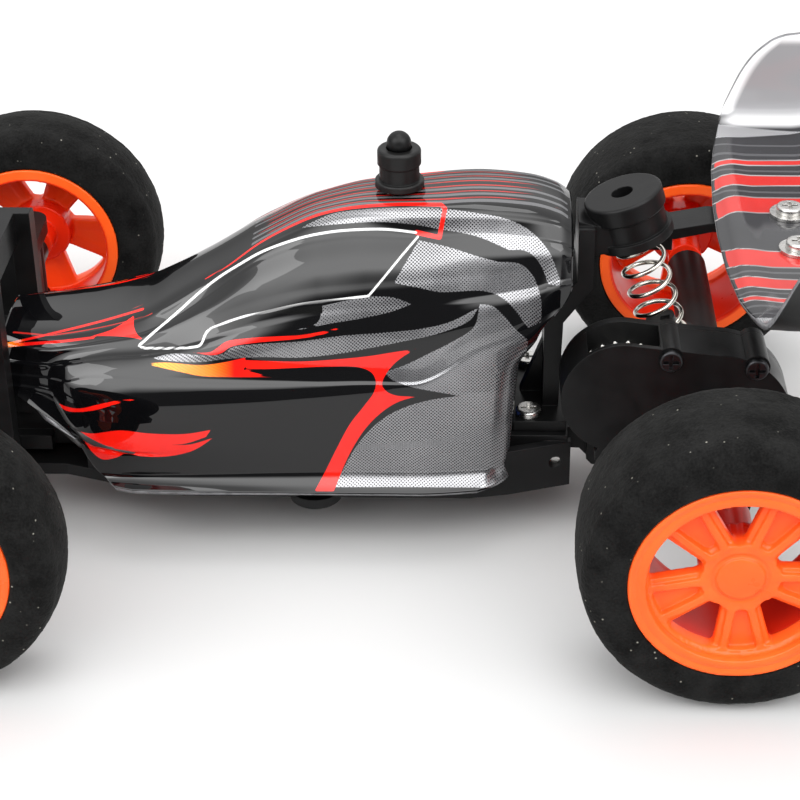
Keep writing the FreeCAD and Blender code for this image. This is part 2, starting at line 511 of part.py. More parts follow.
# ---------------------------------------------------------------- rear gearbox
AX = (-HALF_BASE, AXLE_Z)
d1 = MODULE * (Z_AXLE + Z_SMALL) / 2
a1 = math.radians(16.0)
CG = (AX[0] + d1 * math.cos(a1), AX[1] + d1 * math.sin(a1))
d2 = MODULE * (Z_LARGE + Z_PINION) / 2
a2 = math.radians(-100.0)
PN = (CG[0] + d2 * math.cos(a2), CG[1] + d2 * math.sin(a2))
GY = (6.3, 8.4, 8.8, 10.9)       # the two gear layers
put("axle_gear", gear(Z_AXLE, AX, a1, GY[0], GY[1], bore=SHAFT_R))
small = gear(Z_SMALL, CG, a1 + math.pi + math.pi / Z_SMALL, GY[0], GY[1] + 0.2, bore=0.55)
large = gear(Z_LARGE, CG, a2, GY[1] + 0.1, GY[3], bore=0.55)
large = large.cut(cyl((CG[0], GY[1] - 2, CG[1]), (0, 1, 0), 0.55, 6))
put("compound_gear", fuse(small, cyl((CG[0], GY[0], CG[1]), (0, 1, 0), 3.0, GY[3] - GY[0]), large)
    .cut(cyl((CG[0], 0, CG[1]), (0, 1, 0), 0.55, 20)))
put("motor_pinion", gear(Z_PINION, PN, a2 + math.pi + math.pi / Z_PINION, GY[2], GY[3], bore=0.5))
put("motor_shaft", cyl((PN[0], 3.4, PN[1]), (0, 1, 0), 0.5, GY[3] - 3.4))
put("gear_pin", cyl((CG[0], 4.5, CG[1]), (0, 1, 0), 0.5, 7.4))

# drive motor: flat-sided can with a boss at the shaft end and a plastic end cap
can = cyl((PN[0], -9.8, PN[1]), (0, 1, 0), 5.9, 13.0).common(box(-60, 0, -20, 20, PN[1] - 4.9, PN[1] + 4.9))
can = can.fuse(cyl((PN[0], 3.1, PN[1]), (0, 1, 0), 1.6, 0.6))
can = can.cut(cyl((PN[0], 2.0, PN[1]), (0, 1, 0), 0.58, 4))
endcap = cyl((PN[0], -11.2, PN[1]), (0, 1, 0), 5.2, 1.4).common(box(-60, 0, -20, 20, PN[1] - 4.4, PN[1] + 4.4))
put("drive_motor", can)
put("motor_end_cap", endcap)

# housing: main block round the motor, axle tubes, spring seat
GB_Y = 5.5
prof = [(-51.6, 13.6), (-52.4, 16.0), (-52.4, 20.6), (-50.4, 22.0), (-34.0, 22.0), (-32.6, 20.0), (-31.6, 12.9), (-26.8, 12.9),
        (-26.6, 9.9), (-31.4, 9.7), (-33.0, 7.9), (-42.6, 7.2), (-48.6, 11.0)]
blk = prism_xz(prof, -GB_Y, GB_Y)
motor_room = cyl((PN[0], -GB_Y - 1, PN[1]), (0, 1, 0), 6.0, GB_Y + 1 + 3.8).common(box(-60, 0, -20, 20, PN[1] - 5.0, PN[1] + 5.0))
tongue = box(-33, -24, -GB_Y - 1, -4.4, 5, 30).fuse(box(-33, -24, 4.4, GB_Y + 1, 5, 30))
blk = blk.cut(tongue.common(box(-32.2, -24, -10, 10, 5, 30)))
blk = round_edges(blk, 1.0, lambda e: along_y(e) and e.BoundBox.ZMin > 19)
rtube = cyl((AX[0], -30.6, AX[1]), (0, 1, 0), 2.7, 31.0 - GB_Y + 0.5)
case = fuse(blk, rtube)
seat_top = along(c3, SD, 3.2 + REAR_SPRING - 0.5)
seat = cyl(along(seat_top, SD, 0.6), SD, 3.9, 3.6)
pin = cyl(along(seat_top, SD, 0.6 + 0.1), tuple(-q for q in SD), 1.9, 3.2)
case = case.fuse(seat).fuse(pin)
case = case.cut(motor_room)
# left gear room: back wall is the block, open to the cover
gr = [(-57.3, 14.0), (-57.3, 22.0), (-53.0, 27.2), (-47.0, 28.3), (-43.4, 26.4), (-42.0, 27.2), (-38.0, 29.3), (-33.6, 29.0), (-29.9, 25.6),
      (-29.4, 20.0), (-32.0, 15.0), (-33.8, 9.8), (-37.0, 8.4), (-42.0, 8.9), (-50.0, 8.6)]


def gear_room(grow, y0, y1):
    s = [cyl((AX[0], y0, AX[1]), (0, 1, 0), 8.9 + grow, y1 - y0), cyl((CG[0], y0, CG[1]), (0, 1, 0), 6.9 + grow, y1 - y0),
         cyl((PN[0], y0, PN[1]), (0, 1, 0), 3.9 + grow, y1 - y0)]
    hull = prism_xz([(AX[0], AX[1] + 8.9 + grow), (CG[0], CG[1] + 6.9 + grow), (CG[0] + 1, CG[1] - 3), (PN[0] + 3.2 + grow * 0.8, PN[1] - 2.2),
                     (PN[0], PN[1] - 3.9 - grow), (AX[0], AX[1] - 8.9 - grow)], y0, y1)
    return fuse(*s, hull)


wall = gear_room(0.9, GB_Y - 0.7, GB_Y + 0.4)
case = case.fuse(wall)
tongue_room = box(-32.3, -24, -20, -4.4, 5, 18).fuse(box(-32.3, -24, 4.4, 20, 5, 18))
case = case.cut(tongue_room)
case = case.cut(motor_room)
case = case.cut(cyl((AX[0], -40, AX[1]), (0, 1, 0), 1.9, 80))
case = case.cut(cyl((PN[0], 0, PN[1]), (0, 1, 0), 1.7, 10))
case = case.cut(cyl((CG[0], 4.5, CG[1]), (0, 1, 0), 0.5, 10))
case = case.cut(cyl((REAR_PIVOT[0], -20, REAR_PIVOT[1]), (0, 1, 0), 0.8, 40))
COVER_SCREW = [(-52.6, 26.6), (-44.6, 9.6), (-41.9, 27.7)]
lug = lambda x, z, y0, y1, r: cyl((x, y0, z), (0, 1, 0), r, y1 - y0)
for x, z in COVER_SCREW:
    case = case.fuse(lug(x, z, GB_Y - 0.7, GB_Y + 0.4, 1.7))
for x, z in COVER_SCREW:
    case = case.cut(lug(x, z, 0, 9, 0.8))
if case.ShapeType == "Compound":
    case = max(case.Solids, key=lambda s: s.Volume)
put("gearbox_housing", case.removeSplitter())

cov = gear_room(0.9, GB_Y + 0.45, 12.1).cut(gear_room(0.0, GB_Y, 11.4))
for x, z in COVER_SCREW:
    cov = cov.fuse(lug(x, z, GB_Y + 0.45, 12.1, 1.7).cut(gear_room(0.0, GB_Y, 11.4)))
ltube = cyl((AX[0], 11.5, AX[1]), (0, 1, 0), 2.7, 30.6 - 11.5)
cov = cov.fuse(ltube)
cov = cov.cut(cyl((AX[0], -40, AX[1]), (0, 1, 0), 1.9, 80))
cov = cov.cut(box(CG[0] - 4.4, CG[0] + 4.6, 0, 11.4, CG[1] + 3.6, 40))        # slot over the large gear
for x, z in COVER_SCREW:
    cov = cov.cut(lug(x, z, 0, 14, 0.8))
cov = cov.cut(cyl((CG[0], 4.0, CG[1]), (0, 1, 0), 0.5, 7.95))
if cov.ShapeType == "Compound":
    cov = max(cov.Solids, key=lambda s: s.Volume)
put("gear_cover", cov.removeSplitter())


def screw_y(x, z, yhead, yend):
    s = screw(0, 0, 0, yend - yhead if yend < yhead else yhead - yend, r=0.78, head=1.45)
    s.Placement = FreeCAD.Placement(V(x, yhead, z), FreeCAD.Rotation(V(1, 0, 0), -90))
    return s


put("cover_screws", Part.makeCompound([screw_y(x, z, 13.0, 5.2) for x, z in COVER_SCREW]))
put("rear_pivot_pin", cyl((REAR_PIVOT[0], -9.6, REAR_PIVOT[1]), (0, 1, 0), 0.75, 19.2))

# axle, bushings
put("rear_axle_shaft", cyl((AX[0], -43.4, AX[1]), (0, 1, 0), SHAFT_R, 86.8))
bush = []
for y0 in (-30.6, 27.6):
    bush.append(cyl((AX[0], y0, AX[1]), (0, 1, 0), 1.88, 3.0).cut(cyl((AX[0], y0 - 1, AX[1]), (0, 1, 0), SHAFT_R + 0.05, 5)))
put("axle_bushings", Part.makeCompound(bush))

# ---------------------------------------------------------------- springs
put("rear_spring", spring(along(c3, SD, 3.25), SD, REAR_SPRING, 2.85, 0.6, 6.5))
put("front_spring", spring(along(FCUP, FD, 3.25), FD, 11.4, 2.85, 0.6, 5.0))

# ---------------------------------------------------------------- front beam
FX = HALF_BASE
fseat_top = along(FCUP, FD, 3.2 + 11.4 - 0.5)
FP = FRONT_PIVOT
tong = prism_xz([(FP[0] - 1.7, 10.1), (FP[0] - 1.7, 13.5), (33.0, 13.5), (40.0, 15.6), (46.6, 15.6), (46.6, 10.3), (33, 10.1)], -5.2, 5.2)
tong = tong.cut(box(20, 31, 4.2, 10, 5, 20)).cut(box(20, 31, -10, -4.2, 5, 20))
blockf = box(38.0, 53.6, -7.0, 7.0, 10.3, 12.4)
beam = box(FX - 2.4, FX + 2.6, -24.8, 24.8, 11.0, 14.2)


def hub_fork(sgn):
    lo = box(FX - 2.8, FX + 3.4, 23.6, 33.2, 11.0, 13.6)
    hi = box(FX - 3.4, FX + 3.4, 23.6, 33.2, 23.4, 25.6)
    back = box(FX - 3.4, FX + 3.4, 22.4, 25.0, 11.0, 25.6)
    s = fuse(lo, hi, back)
    s = round_edges(s, 2.6, lambda e: vertical(e) and e.BoundBox.YMin > 33)
    s = s.cut(cyl((FX, KINGPIN_Y, 5), (0, 0, 1), 0.9, 30))
    return s if sgn > 0 else mirror_y(s)


deckf = prism_xz([(51.0, 12.2), (53.6, 12.2), (53.6, 17.0), (54.2, 21.0), (58.6, 21.0), (58.6, 22.4), (50.2, 22.4), (51.0, 17.0)], -7.0, -4.6)
deckr = deckf.mirror(V(0, 0, 0), V(0, 1, 0))
decktop = box(50.2, 58.6, -7.0, 7.0, 21.0, 22.4)
fbeam = fuse(tong, blockf, beam, hub_fork(1), hub_fork(-1), deckf, deckr, decktop)
fseat = cyl(along(fseat_top, FD, 0.6), FD, 3.9, 3.0).common(box(40, 65, -6, 6, 21.2, 40))
fpin = cyl(along(fseat_top, FD, 1.0), tuple(-q for q in FD), 1.9, 3.2)
fbeam = fbeam.fuse(fseat).fuse(fpin)
fbeam = fbeam.cut(cyl((FP[0], -20, FP[1]), (0, 1, 0), 0.8, 40))
if fbeam.ShapeType == "Compound":
    fbeam = max(fbeam.Solids, key=lambda s: s.Volume)
put("front_beam", fbeam.removeSplitter())
put("front_pivot_pin", cyl((FP[0], -11.9, FP[1]), (0, 1, 0), 0.75, 23.8))
kp = cyl((FX, KINGPIN_Y, 10.6), (0, 0, 1), 0.9, 15.2).fuse(cyl((FX, KINGPIN_Y, 25.65), (0, 0, 1), 1.6, 0.6))
put("kingpins", Part.makeCompound([kp, mirror_y(kp)]))

# steering motor box on the beam, output shaft up through the horn
HORN_X = 51.0
servo = fuse(round_edges(box(38.8, 47.5, -6.4, 6.4, 15.65, 20.6), 0.8, vertical), box(47.0, 53.4, -4.3, 4.3, 17.4, 20.6))
servo = servo.cut(cyl((HORN_X, 0, 16), (0, 0, 1), 0.85, 3.2))
put("steering_motor", servo)

# knuckles with forward steering arms
ARM_Z0, ARM_Z1 = 15.4, 17.0


def knuckle():
    s = cyl((FX, KINGPIN_Y, 13.9), (0, 0, 1), 2.6, 9.2)
    s = s.fuse(cyl((FX, KINGPIN_Y, AXLE_Z), (0, 1, 0), 2.3, 4.6))
    a = box(FX + 1.0, FX + STEER_ARM + 2.2, KINGPIN_Y - 1.7, KINGPIN_Y + 1.7, ARM_Z0, ARM_Z1)
    a = round_edges(a, 1.5, lambda e: vertical(e) and e.BoundBox.XMin > FX + 5)
    s = s.fuse(a)
    s = s.cut(cyl((FX, KINGPIN_Y, 5), (0, 0, 1), 0.95, 30))
    # slotted hole for the link pin
    sl = fuse(cyl((FX + STEER_ARM - 0.5, KINGPIN_Y, 10), (0, 0, 1), 0.78, 12), cyl((FX + STEER_ARM + 0.3, KINGPIN_Y, 10), (0, 0, 1), 0.78, 12),
              box(FX + STEER_ARM - 0.5, FX + STEER_ARM + 0.3, KINGPIN_Y - 0.78, KINGPIN_Y + 0.78, 10, 22))
    s = s.cut(sl)
    s = s.cut(cyl((FX, KINGPIN_Y + 1.6, AXLE_Z), (0, 1, 0), SHAFT_R, 8))
    return s.removeSplitter()


kn = knuckle()
put("left_knuckle", kn)
put("right_knuckle", mirror_y(kn))
stub = cyl((FX, KINGPIN_Y + 1.65, AXLE_Z), (0, 1, 0), SHAFT_R - 0.06, 11.0)
put("left_stub_axle", stub)
put("right_stub_axle", mirror_y(stub))

# steering link under the knuckle arms, with upright pins, and the horn that moves it
LX = FX + STEER_ARM
link = box(LX - 1.3, LX + 1.3, -31.2, 31.2, 13.2, 14.8)
link = round_edges(link, 1.2, lambda e: vertical(e))
for s in (1, -1):
    link = link.fuse(cyl((LX - 0.2, s * KINGPIN_Y, 14.0), (0, 0, 1), 0.6, 4.2))
link = link.fuse(cyl((LX - 0.2, 0, 14.0), (0, 0, 1), 0.6, 3.4))
put("steering_link", link.removeSplitter())
horn = fuse(cyl((HORN_X, 0, 15.3), (0, 0, 1), 2.0, 1.5), box(HORN_X, HORN_X + 8.4, -1.6, 1.6, 15.3, 16.8),
            cyl((HORN_X, 0, 15.3), (0, 0, 1), 0.8, 3.6))
horn = horn.cut(fuse(cyl((HORN_X + 5.5, 0, 14), (0, 0, 1), 0.82, 5), cyl((HORN_X + 6.5, 0, 14), (0, 0, 1), 0.82, 5),
                     box(HORN_X + 5.5, HORN_X + 6.5, -0.82, 0.82, 14, 19)))
put("servo_horn", horn)

for old in os.listdir("parts"):
    if old.endswith(".step") and old[:-5] not in SHAPES:
        os.remove(os.path.join("parts", old))
for name, s in sorted(SHAPES.items()):
    bb = s.BoundBox
    print("%-26s %-9s solids %d valid %s vol %9.2f  X %.1f..%.1f Y %.1f..%.1f Z %.1f..%.1f" % (
        name, s.ShapeType, len(s.Solids), s.isValid(), s.Volume, bb.XMin, bb.XMax, bb.YMin, bb.YMax, bb.ZMin, bb.ZMax))
    s.exportStep("parts/%s.step" % name)
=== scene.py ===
import bpy
import json
import math
import numpy as np
from mathutils import Matrix, Vector


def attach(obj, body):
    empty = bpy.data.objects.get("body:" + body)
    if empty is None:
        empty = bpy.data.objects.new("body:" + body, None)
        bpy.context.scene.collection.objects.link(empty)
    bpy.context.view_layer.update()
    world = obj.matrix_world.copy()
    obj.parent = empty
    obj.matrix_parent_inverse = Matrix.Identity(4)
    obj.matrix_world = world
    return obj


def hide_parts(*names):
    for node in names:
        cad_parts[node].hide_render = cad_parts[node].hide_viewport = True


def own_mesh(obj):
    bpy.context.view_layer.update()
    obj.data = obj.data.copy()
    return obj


# Small electric buggy: the looks. Lengths in this file are millimetres until they go into a mesh.
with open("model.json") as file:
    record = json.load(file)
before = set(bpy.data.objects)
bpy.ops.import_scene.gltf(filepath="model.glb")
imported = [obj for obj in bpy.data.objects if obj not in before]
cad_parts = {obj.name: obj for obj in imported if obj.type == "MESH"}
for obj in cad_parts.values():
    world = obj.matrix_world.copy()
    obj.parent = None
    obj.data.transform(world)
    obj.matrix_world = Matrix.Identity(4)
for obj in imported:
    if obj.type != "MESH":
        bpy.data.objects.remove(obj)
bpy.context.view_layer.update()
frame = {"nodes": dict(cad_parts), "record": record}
NODES = frame["nodes"]
MM = 0.001
TYRE_R, HALF_BASE, AXLE_Z = 18.5, 47.8, 18.5


# ------------------------------------------------------------------ camera
def place_camera():
    f = Vector((0.039833, -0.855344, -0.516526)).normalized()
    r = f.cross(Vector((0, 0, 1))).normalized()
    u = r.cross(f)
    c, s = math.cos(-0.0153), math.sin(-0.0153)
    right, up = c * r + s * u, -s * r + c * u
    cam = bpy.data.cameras.new("camera")
    cam.sensor_fit = "HORIZONTAL"
    cam.sensor_width = 36.0
    cam.lens = 2062.937 * 36.0 / 800.0
    cam.clip_start, cam.clip_end = 0.01, 20.0
    o = bpy.data.objects.new("camera", cam)
    m = Matrix((right, up, -f)).transposed().to_4x4()
    m.translation = Vector((-18.5805, 234.9304, 156.0316)) * MM
    o.matrix_world = m
    bpy.context.scene.collection.objects.link(o)
    bpy.context.scene.camera = o


place_camera()


# ------------------------------------------------------------------ numbers
def pchip(x, y, xs):
    """Smooth curve through (x, y) that never overshoots; x rising. y may hold several columns."""
    x, y, xs = np.asarray(x, float), np.asarray(y, float), np.asarray(xs, float)
    one = y.ndim == 1
    y = y.reshape(len(x), -1)
    h = np.diff(x)[:, None]
    d = np.diff(y, axis=0) / h
    m = np.zeros_like(y)
    w1, w2 = 2 * h[1:] + h[:-1], h[1:] + 2 * h[:-1]
    same = d[:-1] * d[1:] > 0
    with np.errstate(divide="ignore", invalid="ignore"):
        mid = (w1 + w2) / (w1 / d[:-1] + w2 / d[1:])
    m[1:-1] = np.where(same, mid, 0)
    m[0], m[-1] = d[0], d[-1]
    i = np.clip(np.searchsorted(x, xs) - 1, 0, len(x) - 2)
    t = ((xs - x[i]) / (x[i + 1] - x[i]))[:, None]
    t = np.clip(t, 0, 1)
    hh = h[i]
    out = (y[i] * (2 * t**3 - 3 * t**2 + 1) + y[i + 1] * (3 * t**2 - 2 * t**3) + hh * m[i] * (t**3 - 2 * t**2 + t) + hh * m[i + 1] * (t**3 - t**2))
    return out[:, 0] if one else out


def curve(pts, step=0.35, closed=False):
    """Centripetal curve through 2D points; a point given as (x, y, 1) is a sharp corner."""
    pts = [tuple(p) for p in pts]
    if closed:
        k = next((i for i, p in enumerate(pts) if len(p) > 2), 0)
        pts = pts[k:] + pts[:k]
        if len(pts[0]) == 2:
            n = len(pts)
            P = np.array([p[:2] for p in pts], float)
            out = []
            for i in range(n):
                out += catmull(P[i - 1], P[i], P[(i + 1) % n], P[(i + 2) % n], step)
            return np.array(out)
        pts = pts + [pts[0]]
    runs, run = [], [pts[0]]
    for p in pts[1:]:
        run.append(p)
        if len(p) > 2:
            runs.append(run)
            run = [p]
    if len(run) > 1:
        runs.append(run)
    out = []
    for run in runs:
        P = np.array([p[:2] for p in run], float)
        P = np.vstack([2 * P[0] - P[1], P, 2 * P[-1] - P[-2]])
        for i in range(1, len(P) - 2):
            out += catmull(P[i - 1], P[i], P[i + 1], P[i + 2], step)
    if not closed:
        out.append(np.array(pts[-1][:2], float))
    return np.array(out)


def catmull(a, b, c, d, step):
    n = max(1, int(math.ceil(np.linalg.norm(c - b) / step)))
    if n == 1:
        return [b]
    t0, t1 = 0.0, max(1e-6, np.linalg.norm(b - a) ** 0.5)
    t2 = t1 + max(1e-6, np.linalg.norm(c - b) ** 0.5)
    t3 = t2 + max(1e-6, np.linalg.norm(d - c) ** 0.5)
    out = []
    for k in range(n):
        t = t1 + (t2 - t1) * k / n
        A1 = (t1 - t) / (t1 - t0) * a + (t - t0) / (t1 - t0) * b
        A2 = (t2 - t) / (t2 - t1) * b + (t - t1) / (t2 - t1) * c
        A3 = (t3 - t) / (t3 - t2) * c + (t - t2) / (t3 - t2) * d
        B1 = (t2 - t) / (t2 - t0) * A1 + (t - t0) / (t2 - t0) * A2
        B2 = (t3 - t) / (t3 - t1) * A2 + (t - t1) / (t3 - t1) * A3
        out.append((t2 - t) / (t2 - t1) * B1 + (t - t1) / (t2 - t1) * B2)
    return out


def distance(points, line, closed):
    """Distance of each point from a polyline."""
    A = line
    B = np.roll(line, -1, axis=0) if closed else line[1:]
    A = A if closed else line[:-1]
    best = np.full(len(points), 1e9)
    for a, b in zip(A, B):
        d = b - a
        l2 = max(1e-12, float(d @ d))
        t = np.clip(((points - a) @ d) / l2, 0, 1)
        q = points - a - t[:, None] * d
        best = np.minimum(best, (q * q).sum(1))
    return np.sqrt(best)


def inside(points, poly):
    """Whether each point is inside a closed outline."""
    x, y = points[:, 0], points[:, 1]
    r = np.zeros(len(points), bool)
    A, B = poly, np.roll(poly, -1, axis=0)
    for (x1, y1), (x2, y2) in zip(A, B):
        if y1 == y2:
            continue
        c = ((y1 > y) != (y2 > y)) & (x < (x2 - x1) * (y - y1) / (y2 - y1) + x1)
        r ^= c
    return r


def area_field(points, outlines, reach=4.0):
    """Signed distance to the union of closed outlines, positive inside."""
    f = np.full(len(points), -reach)
    for o in outlines:
        poly = curve(o, closed=True)
        lo, hi = poly.min(0) - reach, poly.max(0) + reach
        near = ((points > lo) & (points < hi)).all(1)
        if not near.any():
            continue
        p = points[near]
        d = np.minimum(distance(p, poly, True), reach)
        f[near] = np.maximum(f[near], np.where(inside(p, poly), d, -d))
    return f


def line_field(points, lines, reach=4.0):
    """Half width minus the distance from open curves. Each is (points, width at its start, width at its end)."""
    f = np.full(len(points), -reach)
    for pts, w0, w1 in lines:
        ln = curve(pts)
        lo, hi = ln.min(0) - reach, ln.max(0) + reach
        near = ((points > lo) & (points < hi)).all(1)
        if not near.any():
            continue
        p = points[near]
        seg = np.linalg.norm(np.diff(ln, axis=0), axis=1)
        s = np.concatenate([[0], np.cumsum(seg)]) / max(1e-9, seg.sum())
        best = np.full(len(p), -1e9)
        for i in range(len(ln) - 1):
            a, b = ln[i], ln[i + 1]
            d = b - a
            t = np.clip(((p - a) @ d) / max(1e-12, float(d @ d)), 0, 1)
            q = p - a - t[:, None] * d
            w = w0 + (w1 - w0) * (s[i] + (s[i + 1] - s[i]) * t)
            best = np.maximum(best, w / 2 - np.sqrt((q * q).sum(1)))
        f[near] = np.maximum(f[near], best)
    return f


def value_noise(p, scale, seed):
    """Smooth noise from -1 to 1 at points p, with cells of the given size."""
    rng = np.random.default_rng(seed)
    table = rng.uniform(-1, 1, 4096)
    q = p / scale
    i = np.floor(q).astype(np.int64)
    f = q - i
    f = f * f * (3 - 2 * f)
    out = np.zeros(len(p))
    for dx in (0, 1):
        for dy in (0, 1):
            for dz in (0, 1):
                h = ((i[:, 0] + dx) * 73856093) ^ ((i[:, 1] + dy) * 19349663) ^ ((i[:, 2] + dz) * 83492791)
                w = (f[:, 0] if dx else 1 - f[:, 0]) * (f[:, 1] if dy else 1 - f[:, 1]) * (f[:, 2] if dz else 1 - f[:, 2])
                out += w * table[h & 4095]
    return out


# ------------------------------------------------------------------ meshes
def make_object(name, verts, faces, body, mats=(), face_mats=None, replaces=(), smooth=True):
    """faces: an array of quads or triangles, or a list of arrays."""
    me = bpy.data.meshes.new(name)
    groups = [np.asarray(f, np.int32) for f in (faces if isinstance(faces, list) else [faces])]
    loops = np.concatenate([g.ravel() for g in groups])
    sizes = np.concatenate([np.full(len(g), g.shape[1], np.int32) for g in groups])
    starts = np.concatenate([[0], np.cumsum(sizes)[:-1]]).astype(np.int32)
    me.vertices.add(len(verts))
    me.vertices.foreach_set("co", (np.asarray(verts, np.float32) * MM).ravel())
    me.loops.add(len(loops))
    me.loops.foreach_set("vertex_index", loops.astype(np.int32))
    me.polygons.add(len(sizes))
    me.polygons.foreach_set("loop_start", starts)
    me.polygons.foreach_set("loop_total", sizes)
    for m in mats:
        me.materials.append(m)
    if face_mats is not None:
        me.polygons.foreach_set("material_index", np.asarray(face_mats, np.int32))
    me.update(calc_edges=True)
    me.validate()
    if smooth:
        me.polygons.foreach_set("use_smooth", np.ones(len(me.polygons), bool))
    o = bpy.data.objects.new(name, me)
    bpy.context.scene.collection.objects.link(o)
    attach(o, body)
    if replaces:
        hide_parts(*replaces)
    return o


def add_field(o, name, values):
    a = o.data.attributes.new(name, "FLOAT", "POINT")
    a.data.foreach_set("value", np.asarray(values, np.float32))


def add_vector(o, name, values):
    a = o.data.attributes.new(name, "FLOAT_VECTOR", "POINT")
    a.data.foreach_set("vector", np.asarray(values, np.float32).ravel())


def grid_quads(nu, nv, wrap_u=False, wrap_v=False, base=0, flip=False):
    u = np.arange(nu if wrap_u else nu - 1)
    v = np.arange(nv if wrap_v else nv - 1)
    U, W = np.meshgrid(u, v, indexing="ij")
    U2, W2 = (U + 1) % nu, (W + 1) % nv
    q = np.stack([U * nv + W, U2 * nv + W, U2 * nv + W2, U * nv + W2], -1).reshape(-1, 4) + base
    return q[:, ::-1] if flip else q


def grid_normals(P, wrap_u=False, wrap_v=False):
    """P is (nu, nv, 3)."""
    def diff(a, axis, wrap):
        if wrap:
            return np.roll(a, -1, axis) - np.roll(a, 1, axis)
        return np.gradient(a, axis=axis)
    n = np.cross(diff(P, 0, wrap_u), diff(P, 1, wrap_v))
    ln = np.linalg.norm(n, axis=-1, keepdims=True)
    ln[ln == 0] = 1
    return n / ln


def tube(path, r, sides=14, closed=False, cap=True):
    """A round tube of radius r (or one radius per point) along a path. Returns verts and face lists."""
    path = np.asarray(path, float)
    n = len(path)
    rr = np.full(n, r) if np.isscalar(r) else np.asarray(r, float)
    t = np.roll(path, -1, 0) - np.roll(path, 1, 0) if closed else np.gradient(path, axis=0)
    t /= np.linalg.norm(t, axis=1, keepdims=True)
    ref = np.array([0, 0, 1.0]) if abs(t[0][2]) < 0.9 else np.array([1.0, 0, 0])
    a = np.cross(t[0], ref)
    a /= np.linalg.norm(a)
    rings = []
    for i in range(n):
        a = a - t[i] * (a @ t[i])
        a /= np.linalg.norm(a)
        b = np.cross(t[i], a)
        ang = np.linspace(0, 2 * np.pi, sides, endpoint=False)
        rings.append(path[i] + rr[i] * (np.cos(ang)[:, None] * a + np.sin(ang)[:, None] * b))
    v = np.concatenate(rings)
    f = [grid_quads(n, sides, wrap_u=closed, wrap_v=True)]
    if cap and not closed:
        v = np.vstack([v, path[0], path[-1]])
        k = np.arange(sides)
        f.append(np.stack([np.full(sides, n * sides), (k + 1) % sides, k], 1))
        e = (n - 1) * sides
        f.append(np.stack([np.full(sides, n * sides + 1), e + k, e + (k + 1) % sides], 1))
    return v, f


def surface_nets(field, origin, h):
    """Smooth closed surface of field > 0 on a grid of step h. Returns verts and quads, facing out."""
    s = field > 0
    nx, ny, nz = field.shape
    cells = np.zeros((nx - 1, ny - 1, nz - 1), int)
    corner = [(i, j, k) for i in (0, 1) for j in (0, 1) for k in (0, 1)]
    for i, j, k in corner:
        cells += s[i:nx - 1 + i, j:ny - 1 + j, k:nz - 1 + k]
    active = (cells > 0) & (cells < 8)
    idx = np.full(active.shape, -1, np.int64)
    I = np.argwhere(active)
    idx[tuple(I.T)] = np.arange(len(I))
    acc = np.zeros((len(I), 3))
    cnt = np.zeros(len(I))
    for a, b in [(c, d) for c in corner for d in corner if sum(abs(np.subtract(c, d))) == 1 and c < d]:
        va = field[tuple((I + a).T)]
        vb = field[tuple((I + b).T)]
        cross = (va > 0) != (vb > 0)
        den = np.where(cross, va - vb, 1.0)
        t = np.where(cross, va / den, 0)
        p = np.array(a) + t[:, None] * (np.array(b) - np.array(a))
        acc[cross] += p[cross]
        cnt[cross] += 1
    V = (I + acc / cnt[:, None]) * h + np.asarray(origin)
    quads = []
    for ax in range(3):
        o1, o2 = [k for k in range(3) if k != ax]
        e0 = np.zeros(3, int)
        e0[ax] = 1
        sl0 = tuple(slice(0, n - (1 if k == ax else 0)) for k, n in enumerate(field.shape))
        sl1 = tuple(slice(1 if k == ax else 0, n) for k, n in enumerate(field.shape))
        ch = s[sl0] != s[sl1]
        E = np.argwhere(ch)
        ok = (E[:, o1] > 0) & (E[:, o2] > 0) & (E[:, o1] < field.shape[o1] - 1) & (E[:, o2] < field.shape[o2] - 1)
        E = E[ok]
        up = s[tuple(E.T)]
        d1, d2 = np.zeros(3, int), np.zeros(3, int)
        d1[o1], d2[o2] = 1, 1
        q = np.stack([idx[tuple((E - d1 - d2).T)], idx[tuple((E - d2).T)], idx[tuple(E.T)], idx[tuple((E - d1).T)]], 1)
        flip = up if ax != 1 else ~up
        q[~flip] = q[~flip][:, ::-1]
        quads.append(q)
    return V, np.concatenate(quads)


def smax(a, b, k):
    h = np.clip(0.5 + 0.5 * (a - b) / k, 0, 1)
    return b + (a - b) * h + k * h * (1 - h)


def smin(a, b, k):
    return -smax(-a, -b, k)

